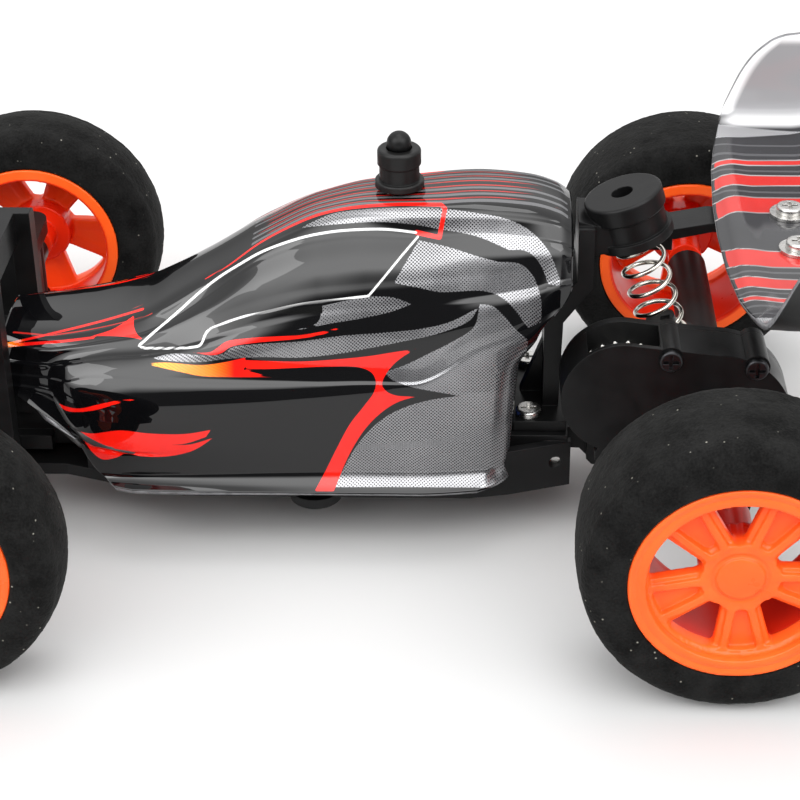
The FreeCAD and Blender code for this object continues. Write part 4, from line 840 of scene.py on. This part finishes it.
WHITE_LINES = [
    ([(24.51, 19.1, 1), (22.27, 21.14), (19.77, 23.32), (17.18, 25.6), (14.56, 27.52), (11.92, 29.05), (9.23, 30.47), (6.5, 31.49), (3.45, 32.37), (0.44, 32.91), (-2.37, 33.16), (-6.4, 33.24), (-10.24, 32.84)], 0.32, 0.29),   # window top
    ([(24.51, 19.1, 1), (24.89, 18.78), (24.21, 18.46, 1), (20.78, 18.44), (17.87, 18.57), (16.84, 18.85), (16.34, 19.99), (15.91, 20.69), (14.08, 21.5), (11.74, 22.3), (8.9, 22.88), (4.07, 23.9), (-0.93, 24.52), (-4.48, 24.96, 1)], 0.30, 0.28),   # window low
    ([(-4.48, 24.96, 1), (-6.61, 27.55), (-8.8, 30.27), (-10.5, 32.34)], 0.25, 0.25),   # window diag
]

# ------------------------------------------------------------------ body shell
POST_X = -8.0
ROOF_LINES = [0.75, 2.0, 3.25]        # |Y| of the red lines along the roof, scaled with its width


def build_shell():
    nu = 340
    H = shell_grid(nu)                                   # left half, (nu, rows, 3)
    rows = H.shape[1]
    seg = np.linalg.norm(np.diff(H, axis=1), axis=2)
    arc = np.concatenate([np.zeros((nu, 1)), np.cumsum(seg, axis=1)], axis=1)
    R = H[:, :0:-1].copy()
    R[:, :, 1] *= -1
    P = np.concatenate([R, H], axis=1)                   # right edge .. crown .. left edge
    A = np.concatenate([arc[:, :0:-1], arc], axis=1)
    K = np.concatenate([np.arange(rows - 1, 0, -1), np.arange(rows)])
    nv = P.shape[1]
    N = grid_normals(P)
    if N[nu // 2, nv // 2, 2] < 0:
        N = -N
        flip = True
    else:
        flip = False
    # the sheet is 0.55 mm thick: its inner face lies that far in along the normals
    t = 0.55
    inner = P - N * t
    verts = np.concatenate([P.reshape(-1, 3), inner.reshape(-1, 3)])
    n = nu * nv
    out = grid_quads(nu, nv, flip=flip)
    inn = grid_quads(nu, nv, base=n, flip=not flip)
    # hole for the post: pull the ring of points near its edge on to the circle
    for block in (slice(0, n), slice(n, 2 * n)):
        v = verts[block]
        d = v[:, :2] - np.array([POST_X, 0.0])
        r = np.linalg.norm(d, axis=1)
        near = (r > 1.72) & (r < 2.08) & (v[:, 2] > 40)
        v[near, :2] = np.array([POST_X, 0.0]) + d[near] / r[near, None] * 1.9
    hole = (np.linalg.norm(verts[:, :2] - np.array([POST_X, 0.0]), axis=1) < 1.72) & (verts[:, 2] > 40)
    keep = lambda q: q[~hole[q].any(axis=1)]
    out, inn = keep(out), keep(inn)
    # rim strip round the border and round the hole
    def rim(faces):
        e = np.concatenate([faces[:, [0, 1]], faces[:, [1, 2]], faces[:, [2, 3]], faces[:, [3, 0]]])
        key = np.sort(e, axis=1)
        _, idx, cnt = np.unique(key[:, 0] * (2 * n) + key[:, 1], return_index=True, return_counts=True)
        b = e[idx[cnt == 1]]
        return np.stack([b[:, 1], b[:, 0], b[:, 0] + n, b[:, 1] + n], 1)
    strip = rim(out)
    faces = np.concatenate([out, inn, strip])
    mats = np.concatenate([np.zeros(len(out)), np.ones(len(inn)), np.full(len(strip), 2)])
    o = make_object("shell_sheet", verts, faces, "body_shell", (SHELL_OUT, SHELL_IN, EDGE), mats, ("body_shell",))

    # ---- print
    X, Y, Z = P[..., 0].ravel(), np.abs(P[..., 1].ravel()), P[..., 2].ravel()
    S = A.ravel()
    D = decal(P).reshape(-1, 2)
    row = np.tile(K, nu)
    f = {}
    side = row > 6
    f["red"] = np.maximum(area_field(D, RED), line_field(D, RED_LINES))
    f["silver"] = area_field(D, SILVER)
    f["white"] = line_field(D, WHITE_LINES)
    f["black_over"] = area_field(D, BLACK)
    # lines on the roof, behind the windshield, that follow its width
    edge = np.interp(X, [-29.6, -13.7, -4, 2, 9, 13.5, 17], [5.2, 5.6, 4.3, 3.8, 4.1, 4.7, 4.8])
    y = Y / edge
    fade = np.interp(X, [-27.5, -20, 7.6, 10.6], [-0.2, 1, 1, -0.5])
    red = np.full(len(X), -4.0)
    for c, w in ((0.12, 0.11), (0.40, 0.10), (0.68, 0.10)):
        red = np.maximum(red, w / 2 * np.minimum(1, fade + 0.25) * edge * 0.55 - np.abs(y - c) * edge)
    on_roof = (row <= PANEL_N + CORNER_N) & (X < 11.2)
    red = np.where(on_roof, np.minimum(red, np.minimum(10.8 - X, X + 28.4)), -4)
    # the edges of the hood's top, from the windshield to the nose
    hood = (X > 22.0) & (row <= 2 * PANEL_N + CORNER_N)
    half = np.interp(X, [22, 26, 37, 43.2], [7.2, 7.4, 7.4, 5.7])
    band = np.maximum(np.interp(X, [23.2, 43.2], [0.08, 0.13]) - np.abs(Y - half * 0.84), 0.06 - np.abs(Y - half * 0.55) - 0.02 * np.clip(X - 30, 0, 9))
    band = np.where(hood, np.minimum(band, np.minimum(X - 23.4, 41.9 - X)), -4)
    f["top_red"] = np.maximum(red, band)
    grey = np.full(len(X), -4.0)
    for c, w in ((0.24, 0.10), (0.52, 0.10), (0.80, 0.12)):
        grey = np.maximum(grey, w / 2 * edge - np.abs(y - c) * edge)
    f["grey_stripe"] = np.where(on_roof, np.minimum(grey, np.minimum(10.6 - X, X + 29.0)), -4)
    # dot size: lighter where the ink is denser
    shade = 0.62 + 0.38 * np.sin(X * 0.33 + Z * 0.21)
    shade = np.where(Z < 24, np.interp(Z, [10, 13, 19, 24], [0.95, 0.55, 0.35, 0.75]), shade)
    f["shade"] = np.clip(shade, 0, 1)
    f["warm"] = np.clip(np.interp(X, [12.5, 15.5, 21.5, 24.5], [0, 0.55, 1, 0.9]), 0, 1) * ((D[:, 1] > 14) & (D[:, 1] < 17.5))
    f["warm"] = np.maximum(f["warm"], 0.9 * np.clip(np.interp(X, [40, 44], [0, 1]), 0, 1) * (D[:, 1] > 17))
    for k, v in f.items():
        add_field(o, k, np.concatenate([v, v]))
    pat = np.stack([X, S, np.zeros(len(X))], 1)
    add_vector(o, "pattern", np.concatenate([pat, pat]))
    return o


build_shell()

# ------------------------------------------------------------------ wing
WING_T = 0.8
WING_CH = [(-69.0, 4.4), (-67.0, 2.6), (-64.0, 0.9), (-60.0, 0.0), (-54.0, 0.05), (-51.2, 0.30), (-50.3, 0.22), (-49.6, -0.08), (-48.2, -0.62)]      # X, rise
WING_SPAN = [(0.0, 38.55), (8.0, 38.55), (14.0, 38.75), (20.0, 39.2), (26.0, 40.1), (29.0, 41.2), (30.6, 43.0), (31.1, 45.4), (31.2, 54.6)]
LEAD = [(0, -48.3), (9.0, -48.5), (18.0, -49.1), (26.0, -50.2), (31.8, -51.2)]
PLATE = [(42.2, -51.0), (45.5, -52.2), (49.4, -54.0), (52.2, -56.4), (53.8, -59.6), (54.15, -64.0)]


def build_wing():
    # span line, evenly sampled, with rounded corners
    sp = curve([(y, z) for y, z in WING_SPAN], step=0.3)
    s = np.concatenate([[0], np.cumsum(np.linalg.norm(np.diff(sp, axis=0), axis=1))])
    m = int(s[-1] / 0.3)
    q = np.linspace(0, s[-1], m)
    Yl, Zl = np.interp(q, s, sp[:, 0]), np.interp(q, s, sp[:, 1])
    keep = Zl < 54.15
    Yl, Zl, q = Yl[keep], Zl[keep], q[keep]
    m = len(q)
    tip = np.clip((Yl - 20.0) / 10.0, 0, 1)
    up = np.clip((Yl - 30.9) / 0.25, 0, 1) * (Zl > 44)
    nu = 90
    cx, cr = np.array(WING_CH).T
    start = np.interp(Yl, [p[0] for p in LEAD], [p[1] for p in LEAD])
    pz, px = np.array(PLATE).T
    high = Zl > 42.0
    start = np.where(high, np.minimum(start, pchip(pz, px, np.clip(Zl, pz[0], pz[-1]))), start)
    end = np.where(Zl > 53.2, np.interp(Zl, [53.2, 54.15], [-69.0, -68.2]), -69.0)
    t = np.linspace(0, 1, nu)
    X = start[None, :] + (end - start)[None, :] * t[:, None]
    rise = pchip(cx, cr, np.clip(X, -69, -48.2).ravel()).reshape(X.shape)
    Z = Zl[None, :] + rise * (1 - tip * 0.4)[None, :] * (1 - up)[None, :]
    Z = np.minimum(Z, 54.1)
    Y = np.repeat(Yl[None, :], nu, axis=0)
    H = np.stack([X, Y, Z], -1)
    R = H[:, :0:-1].copy()
    R[..., 1] *= -1
    P = np.concatenate([R, H], axis=1)
    Q = np.concatenate([q[:0:-1], q])
    nv = P.shape[1]
    N = grid_normals(P)
    flip = N[nu // 2, nv // 2, 2] < 0
    if flip:
        N = -N
    # N points up (and inwards at the end plates): the table gives the lower face
    top = P + N * WING_T
    top[..., 2] = np.minimum(top[..., 2], 54.15)
    n = nu * nv
    # border: a middle line between the two faces
    verts = np.concatenate([top.reshape(-1, 3), P.reshape(-1, 3)])
    fo = grid_quads(nu, nv, flip=flip)
    fi = grid_quads(nu, nv, base=n, flip=not flip)
    hole = np.zeros(2 * n, bool)
    for hy in (5.0, -5.0):
        c = np.array([-57.6, hy])
        d = verts[:, :2] - c
        r = np.linalg.norm(d, axis=1)
        ok = verts[:, 2] < 42
        near = (r > 0.86) & (r < 1.2) & ok
        verts[near, :2] = c + d[near] / r[near, None] * 1.0
        hole |= (r <= 0.86) & ok
    keep = lambda k: k[~hole[k].any(axis=1)]
    fo, fi = keep(fo), keep(fi)
    e = np.concatenate([fo[:, [0, 1]], fo[:, [1, 2]], fo[:, [2, 3]], fo[:, [3, 0]]])
    key = np.sort(e, axis=1)
    _, idx, cnt = np.unique(key[:, 0] * (2 * n) + key[:, 1], return_index=True, return_counts=True)
    b = e[idx[cnt == 1]]
    # two strips round the border, through the middle line, close the edge
    rim_pts, inv = np.unique(b, return_inverse=True)
    inv = inv.reshape(b.shape)
    a0, a1 = verts[rim_pts], verts[rim_pts + n]
    mid = (a0 + a1) / 2
    base = len(verts)
    verts = np.concatenate([verts, mid])
    s1 = np.stack([b[:, 1], b[:, 0], base + inv[:, 0], base + inv[:, 1]], 1)
    s2 = np.stack([base + inv[:, 1], base + inv[:, 0], b[:, 0] + n, b[:, 1] + n], 1)
    faces = np.concatenate([fo, fi, s1, s2])
    mats = np.concatenate([np.zeros(len(fo)), np.ones(len(fi)), np.full(len(s1) + len(s2), 2)])
    o = make_object("wing_sheet", verts, faces, "chassis", (WING_M, SHELL_IN, EDGE), mats, ("wing",))
    SQ = np.repeat(Q[None, :], nu, axis=0).ravel()
    XX = P[..., 0].ravel()
    start2 = np.concatenate([start[:0:-1], start])
    back = np.repeat(start2[None, :], nu, axis=0).ravel() - XX      # distance behind the leading edge
    red, white, grey, silver = [np.full(n, -4.0) for _ in range(4)]
    for lo, hi, bend in ((5.3, 9.7, 0.9), (13.1, 15.9, 0.7), (18.9, 19.9, 0.5)):
        # the stripes start with a short slant at the leading edge
        sh = bend * np.clip(1 - back / 2.5, 0, 1)
        c, w = (lo + hi) / 2 + 0.02 * back, (hi - lo) / 2 - 0.02 * back * (hi < 17)
        d = w - np.abs(SQ + sh - c)
        red = np.maximum(red, d)
        white = np.maximum(white, np.minimum(0.16 - np.abs(np.abs(SQ + sh - c) - w - 0.16), 1))
    for c, w in ((11.4, 0.5), (17.3, 0.45), (21.6, 0.6), (24.0, 0.4)):
        grey = np.maximum(grey, w / 2 - np.abs(SQ - c))
    # dotted field towards the tips
    silver = np.minimum(SQ - 25.6, 28.6 - SQ) - 0.12 * back
    # painted reflection: the end plates are painted light grey, and the clear border round them and the clear strip
    # where the sheet bends up are painted near white, for the bright backdrop reflected in and seen through the
    # unpainted sheet
    zz = np.concatenate([Z[:, :0:-1], Z], axis=1).ravel()
    plate = np.clip((SQ - 30.2) / 1.2, 0, 1)
    e_front = back
    e_top = 54.1 - zz
    e_rear = XX + 69.0
    e_all = np.minimum(np.minimum(e_front, e_top), e_rear)
    border = np.clip(1 - (e_all - 0.9) / 0.8, 0, 1) * (SQ > 30)
    bend = np.clip(1 - np.abs(SQ - 29.6) / 1.5, 0, 1) ** 0.7 * np.clip(back / 2.0, 0, 1)
    clear = np.maximum(border * plate, bend * 0.85)
    field = {"plate": plate, "clear": clear, "red": np.where(back > 0.25, red, -4), "white": white, "grey_stripe": grey, "silver": silver,
             "shade": np.clip(np.interp(SQ, [23, 30], [0.9, 0.1]), 0, 1)}
    for k, v in field.items():
        add_field(o, k, np.concatenate([v, v, np.full(len(mid), 0.0 if k in ("plate", "clear") else -4.0)]))
    pat = np.stack([XX, SQ, np.zeros(n)], 1)
    add_vector(o, "pattern", np.concatenate([pat, pat, np.zeros((len(mid), 3))]))
    return o


build_wing()

# ------------------------------------------------------------------ foam tyres
BORE_R, LIP_R, SHOULDER = 11.65, 12.8, 2.5


def tyre_profile(out, width):
    """Closed outline (Y, radius) of a left tyre, corners rounded, evenly sampled."""
    i, o = out - width, out
    R, s, b, drop = TYRE_R, SHOULDER, BORE_R + 0.02, 0.45
    pts = []
    def arc(cy, cr, r, a0, a1, n):
        for a in np.linspace(a0, a1, n):
            pts.append((cy + r * math.cos(a), cr + r * math.sin(a)))
    # from the rim side of the outer face, out and over the tread, to the inner face
    pts += [(o - 1.0, b), (o - 1.0, LIP_R - 0.2)]
    arc(o - 0.45, LIP_R + 0.5, 0.45, -math.pi / 2, 0, 6)
    arc(o - s, R - drop - s, s, 0, math.pi / 2, 22)
    m = (i + o) / 2
    for t in np.linspace(0, 1, 28)[1:-1]:
        y = (o - s) + (i + s - o + s) * t
        k = (y - m) / (o - s - m)
        pts.append((y, R - drop * k * k))
    arc(i + s, R - drop - s, s, math.pi / 2, math.pi, 22)
    arc(i + 0.45, LIP_R - 0.35 + 0.5, 0.45, math.pi, 1.5 * math.pi, 6)
    pts += [(i + 0.82, LIP_R - 0.3), (i + 0.82, b)]
    p = np.array(pts)
    q = np.vstack([p, p[:1]])
    s_ = np.concatenate([[0], np.cumsum(np.linalg.norm(np.diff(q, axis=0), axis=1))])
    n = int(s_[-1] / 0.32)
    u = np.linspace(0, s_[-1], n, endpoint=False)
    return np.stack([np.interp(u, s_, q[:, 0]), np.interp(u, s_, q[:, 1])], 1)


def build_tyre(name, cx, out, width, body, side, seed):
    pr = tyre_profile(out, width)
    nr = 360
    ang = np.linspace(0, 2 * np.pi, nr, endpoint=False)
    P = np.zeros((nr, len(pr), 3))
    P[..., 0] = cx + np.cos(ang)[:, None] * pr[:, 1]
    P[..., 1] = pr[:, 0]
    P[..., 2] = AXLE_Z + np.sin(ang)[:, None] * pr[:, 1]
    N = grid_normals(P, True, True)
    c = np.array([cx, (2 * out - width) / 2, AXLE_Z])
    ring = np.stack([np.cos(ang), 0 * ang, np.sin(ang)], 1)[:, None, :] * 15.0 + c
    if ((P - ring) * N).sum() < 0:
        N = -N
    flat = P.reshape(-1, 3)
    # open-cell texture, a little unevenness from cutting; nothing stands out of the true size
    g = 0.42 * value_noise(flat, 0.42, seed) + 0.34 * value_noise(flat, 0.9, seed + 1) + 0.24 * value_noise(flat, 3.2, seed + 2)
    depth = 0.10 * (g - 1.0)
    pits = value_noise(flat, 0.75, seed + 3)
    depth -= 0.16 * np.clip((pits - 0.60) / 0.3, 0, 1)
    rad = np.hypot(flat[:, 0] - cx, flat[:, 2] - AXLE_Z)
    depth *= np.clip((rad - LIP_R) / 0.6, 0, 1)
    flat = flat + N.reshape(-1, 3) * depth[:, None]
    # the foot of the tyre rests on the ground
    flat[:, 2] = np.maximum(flat[:, 2], 0.0)
    q = grid_quads(nr, len(pr), True, True)
    v = flat[q[0]]
    fn = np.cross(v[1] - v[0], v[2] - v[0])
    if fn @ N.reshape(-1, 3)[q[0][0]] < 0:
        q = q[:, ::-1]
    if side < 0:
        flat = flat * np.array([1, -1, 1])
        q = q[:, ::-1]
    return make_object(name + "_foam", flat, q, body, (FOAM,), None, (name + "_tyre",))


# ------------------------------------------------------------------ rims
def rim_field(X, Y, Z, width):
    """Solid of a left rim: X to the rear, Z up, Y the depth behind the outer face. Positive inside."""
    r = np.sqrt(X * X + Z * Z)
    def ring(ro, ri, y0, y1, k=0.25):
        f = np.minimum(ro - r, np.minimum(Y - y0, y1 - Y))
        if ri:
            f = np.minimum(f, r - ri)
        return f
    slope = 0.20 + 0.42 * np.clip(LIP_R - 0.45 - r, 0, 2.2)              # the lip's face falls inwards
    barrel = np.minimum(np.minimum(BORE_R - 0.04 - r, r - (BORE_R - 0.95)), np.minimum(Y - 0.3, width - 0.3 - Y))
    lip = np.minimum(np.minimum(LIP_R - 0.02 - r, r - (BORE_R - 1.0)), np.minimum(Y - slope, 1.0 - Y))
    flange = np.minimum(np.minimum(LIP_R - 0.42 - r, r - (BORE_R - 0.95)), np.minimum(Y - (width - 0.75), width - 0.08 - Y))
    wall = smax(smax(barrel, lip, 0.35), flange, 0.25)
    step = np.minimum(np.minimum(BORE_R - 0.5 - r, r - 10.15), np.minimum(Y - (1.55 + 0.25 * (r < 10.5)), 3.4 - Y))
    disc = np.minimum(BORE_R - 0.5 - r, np.minimum(Y - 2.35, 3.9 - Y))
    hub = np.minimum(4.55 - r, np.minimum(Y - (1.75 + 0.02 * r), 6.6 - Y))
    s = smax(disc, hub, 0.5)
    ribs = np.full(r.shape, -9.0)
    opens = np.full(r.shape, -9.0)
    webs = np.full(r.shape, -9.0)
    for k in range(5):
        b = math.radians(95 + 36 + 72 * k)
        u = X * math.cos(b) + Z * math.sin(b)
        w = np.abs(-X * math.sin(b) + Z * math.cos(b))
        line = 0.62 + 0.185 * (u - 4.6)                                   # half width of the recess
        rib = np.minimum(0.52 - np.abs(w - line - 0.52), np.minimum(u - 4.0, 11.0 - u))
        ribs = np.maximum(ribs, rib)
        web = smin(line - w, u - 4.95, 0.9)
        webs = np.maximum(webs, np.minimum(web, 10.9 - u))
        a = math.radians(95 + 72 * k)
        u = X * math.cos(a) + Z * math.sin(a)
        w = np.abs(-X * math.sin(a) + Z * math.cos(a))
        o = smin(0.50 + 0.455 * (u - 4.15) - w, u - 4.35, 0.7)
        o = smin(o, 10.25 - r, 0.6)
        opens = np.maximum(opens, o)
    ribs = np.minimum(ribs, np.minimum(Y - (1.72 + 0.035 * np.clip(r - 4.6, 0, 9)), 3.9 - Y))
    s = smax(s, ribs, 0.3)
    webcut = np.minimum(webs, 2.75 - Y)
    s = smin(s, -webcut, 0.25)
    s = smax(s, step, 0.3)
    s = smin(s, -opens, 0.25)
    s = smax(s, wall, 0.3)
    sleeve = np.minimum(2.4 - r, np.minimum(Y - 3.0, width - 1.2 - Y))
    s = smax(s, sleeve, 0.4)
    # round cap in the hub with a fine groove round it
    groove = np.minimum(0.30 - np.abs(r - 2.95), 1.98 - Y)
    s = smin(s, -groove, 0.30)
    dome = 1.62 - 0.20 * (1 - (r / 2.8) ** 2)
    cap = np.minimum(2.75 - r, np.minimum(Y - dome, 3.0 - Y))
    s = smax(s, cap, 0.30)
    bore = np.minimum(1.02 - r, Y - 3.4)
    return smin(s, -bore, 0.05)


def build_rim(name, cx, out, width, body, side):
    h = 0.21
    x = np.arange(-13.2, 13.2 + h, h)
    y = np.arange(-0.45, width + 0.45, h)
    X, Y, Z = np.meshgrid(x, y, x, indexing="ij")
    F = rim_field(X, Y, Z, width)
    V, Q = surface_nets(F, (x[0], y[0], x[0]), h)
    V = V.copy()
    W = np.stack([cx - V[:, 0], out - V[:, 1], AXLE_Z + V[:, 2]], 1)
    a, b, c = W[Q[:, 0]], W[Q[:, 1]], W[Q[:, 2]]
    fn = np.cross(b - a, c - a)
    # the volume tells which way the faces point
    vol = (a * np.cross(b, c)).sum()
    d = W[Q[:, 3]]
    vol += (a * np.cross(c, d)).sum()
    if vol < 0:
        Q = Q[:, ::-1]
    if side < 0:
        W = W * np.array([1, -1, 1])
        Q = Q[:, ::-1]
    o = make_object(name + "_wheel", W, Q, body, (ORANGE,), None, (name + "_rim", name + "_rim_centre"))
    r = np.hypot(V[:, 0], V[:, 2])
    # painted shade: the inside of the barrel, deep behind the outer face, is marked for the deeper red
    deep = np.clip((V[:, 1] - 3.3) / 1.4, 0, 1) * np.clip((BORE_R - 0.55 - r) / 0.2, 0, 1)
    add_field(o, "deep", deep * deep * (3 - 2 * deep))
    return o


for nm, cx, out, width, body in (("rear_left", -HALF_BASE, 47.2, 15.5, "rear_wheels"), ("rear_right", -HALF_BASE, 47.2, 15.5, "rear_wheels"),
                                 ("front_left", HALF_BASE, 46.7, 11.2, "front_left_wheel"), ("front_right", HALF_BASE, 46.7, 11.2, "front_right_wheel")):
    side = -1 if "right" in nm else 1
    build_tyre(nm, cx, out, width, body, side, 11 + len(nm) + (3 if cx > 0 else 0))
    build_rim(nm, cx, out, width, body, side)

# ------------------------------------------------------------------ springs
TILT = math.radians(17.6)


def build_spring(name, top, d, length, turns, body, node):
    """Round wire, closed coils at both ends."""
    r, wire = 2.85, 0.30
    top, d = np.array(top, float), np.array(d, float)
    ref = np.cross(d, [0, 1.0, 0])
    ref /= np.linalg.norm(ref)
    other = np.cross(d, ref)
    n = int(turns * 56)
    a = np.linspace(0, turns * 2 * np.pi, n)
    t = a / a[-1]
    # pitch closes up over the first and last three quarters of a turn
    ends = 0.75 / turns
    g = np.minimum(1, np.minimum(t, 1 - t) / ends)
    rate = 0.24 + 0.76 * g * g * (3 - 2 * g)
    h = np.concatenate([[0], np.cumsum((rate[1:] + rate[:-1]) / 2)])
    h = wire + (length - 2 * wire) * h / h[-1]
    ph = 0.9
    path = top + h[:, None] * d + r * (np.cos(a + ph)[:, None] * ref + np.sin(a + ph)[:, None] * other)
    v, f = tube(path, wire, 12)
    o = make_object(name, v, f, body, (SPRINGM,), None, (node,))
    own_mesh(o)
    return o


SD = (-math.sin(TILT), 0.0, -math.cos(TILT))
FD = (math.sin(TILT), 0.0, -math.cos(TILT))
REAR_TOP = tuple(np.array((-35.8, 0, 44.8)) + np.array(SD) * 3.25)
FRONT_TOP = tuple(np.array((50.6, 0, 37.2)) + np.array(FD) * 3.25)
build_spring("rear_coil", REAR_TOP, SD, 18.4, 6.6, "chassis", "rear_spring")
build_spring("front_coil", FRONT_TOP, FD, 11.4, 4.9, "chassis", "front_spring")

# ------------------------------------------------------------------ floor and light
def build_stage():
    m = Nodes("pale_floor")
    broad = m.noise(1.5, 2, 0.5)
    col = m.mix(m.ramp(broad.outputs[0], 0.3, 0.7), (0.50, 0.50, 0.50), (0.525, 0.523, 0.52))
    mat = m.done(Base__Color=col, Roughness=0.6, Specular__IOR__Level=0.1)
    v = np.array([(-3000, -3000, 0), (3000, -3000, 0), (3000, 3000, 0), (-3000, 3000, 0)], float)
    me = bpy.data.meshes.new("floor")
    me.from_pydata([tuple(p * MM) for p in v], [], [(0, 1, 2, 3)])
    me.materials.append(mat)
    o = bpy.data.objects.new("floor", me)
    bpy.context.scene.collection.objects.link(o)


def area(name, loc, target, size, size_y, watts, color=(1, 1, 1), spread=180):
    l = bpy.data.lights.new(name, "AREA")
    l.shape = "RECTANGLE"
    l.size, l.size_y = size, size_y
    l.energy = watts
    l.color = color
    l.spread = math.radians(spread)
    o = bpy.data.objects.new(name, l)
    o.location = loc
    d = Vector(target) - Vector(loc)
    o.rotation_euler = d.to_track_quat("-Z", "Y").to_euler()
    bpy.context.scene.collection.objects.link(o)
    return o


def build_world():
    w = bpy.data.worlds.new("studio")
    bpy.context.scene.world = w
    w.use_nodes = True
    t = w.node_tree
    t.nodes.clear()
    N = t.nodes.new
    out, back, env, mix, lp = N("ShaderNodeOutputWorld"), N("ShaderNodeBackground"), N("ShaderNodeBackground"), N("ShaderNodeMixShader"), N("ShaderNodeLightPath")
    back.inputs[0].default_value = (1, 1, 1, 1)
    back.inputs[1].default_value = 1.0
    tc, sep = N("ShaderNodeTexCoord"), N("ShaderNodeSeparateXYZ")
    t.links.new(tc.outputs["Generated"], sep.inputs[0])
    # a bright sweep behind and above, a dark room on the camera's side
    def mr(sock, a, b, c, d):
        n = N("ShaderNodeMapRange")
        n.interpolation_type = "SMOOTHSTEP"
        t.links.new(sock, n.inputs[0])
        for i, v in zip((1, 2, 3, 4), (a, b, c, d)):
            n.inputs[i].default_value = v
        return n.outputs[0]
    far = mr(sep.outputs[1], 0.88, 0.74, 0.0, 1.0)
    up = mr(sep.outputs[2], 0.05, 0.62, 0.16, 1.0)
    dim = mr(sep.outputs[1], 0.05, 0.62, 0.27, 1.0)
    over = N("ShaderNodeMath")
    over.operation = "MULTIPLY"
    t.links.new(up, over.inputs[0])
    t.links.new(dim, over.inputs[1])
    mul = N("ShaderNodeMath")
    mul.operation = "MULTIPLY"
    t.links.new(far, mul.inputs[0])
    t.links.new(over.outputs[0], mul.inputs[1])
    mad = N("ShaderNodeMath")
    mad.operation = "MULTIPLY_ADD"
    t.links.new(mul.outputs[0], mad.inputs[0])
    mad.inputs[1].default_value = 4.4
    mad.inputs[2].default_value = 0.14
    t.links.new(mad.outputs[0], env.inputs[1])
    env.inputs[0].default_value = (1, 1, 1, 1)
    t.links.new(lp.outputs["Is Camera Ray"], mix.inputs[0])
    t.links.new(env.outputs[0], mix.inputs[1])
    t.links.new(back.outputs[0], mix.inputs[2])
    t.links.new(mix.outputs[0], out.inputs[0])


build_stage()
build_world()
area("softbox_top", (-0.05, -0.05, 0.75), (0, 0, 0.02), 0.45, 0.30, 1.5)
area("softbox_front", (0.55, 0.35, 0.55), (0, 0, 0.02), 0.30, 0.30, 0.9)
area("softbox_back", (-0.55, 0.30, 0.60), (0, 0, 0.02), 0.30, 0.25, 0.7)
sc = bpy.context.scene
sc.view_settings.view_transform = "Standard"
sc.view_settings.look = "None"
sc.view_settings.exposure = 0.0
sc.view_settings.gamma = 1.0
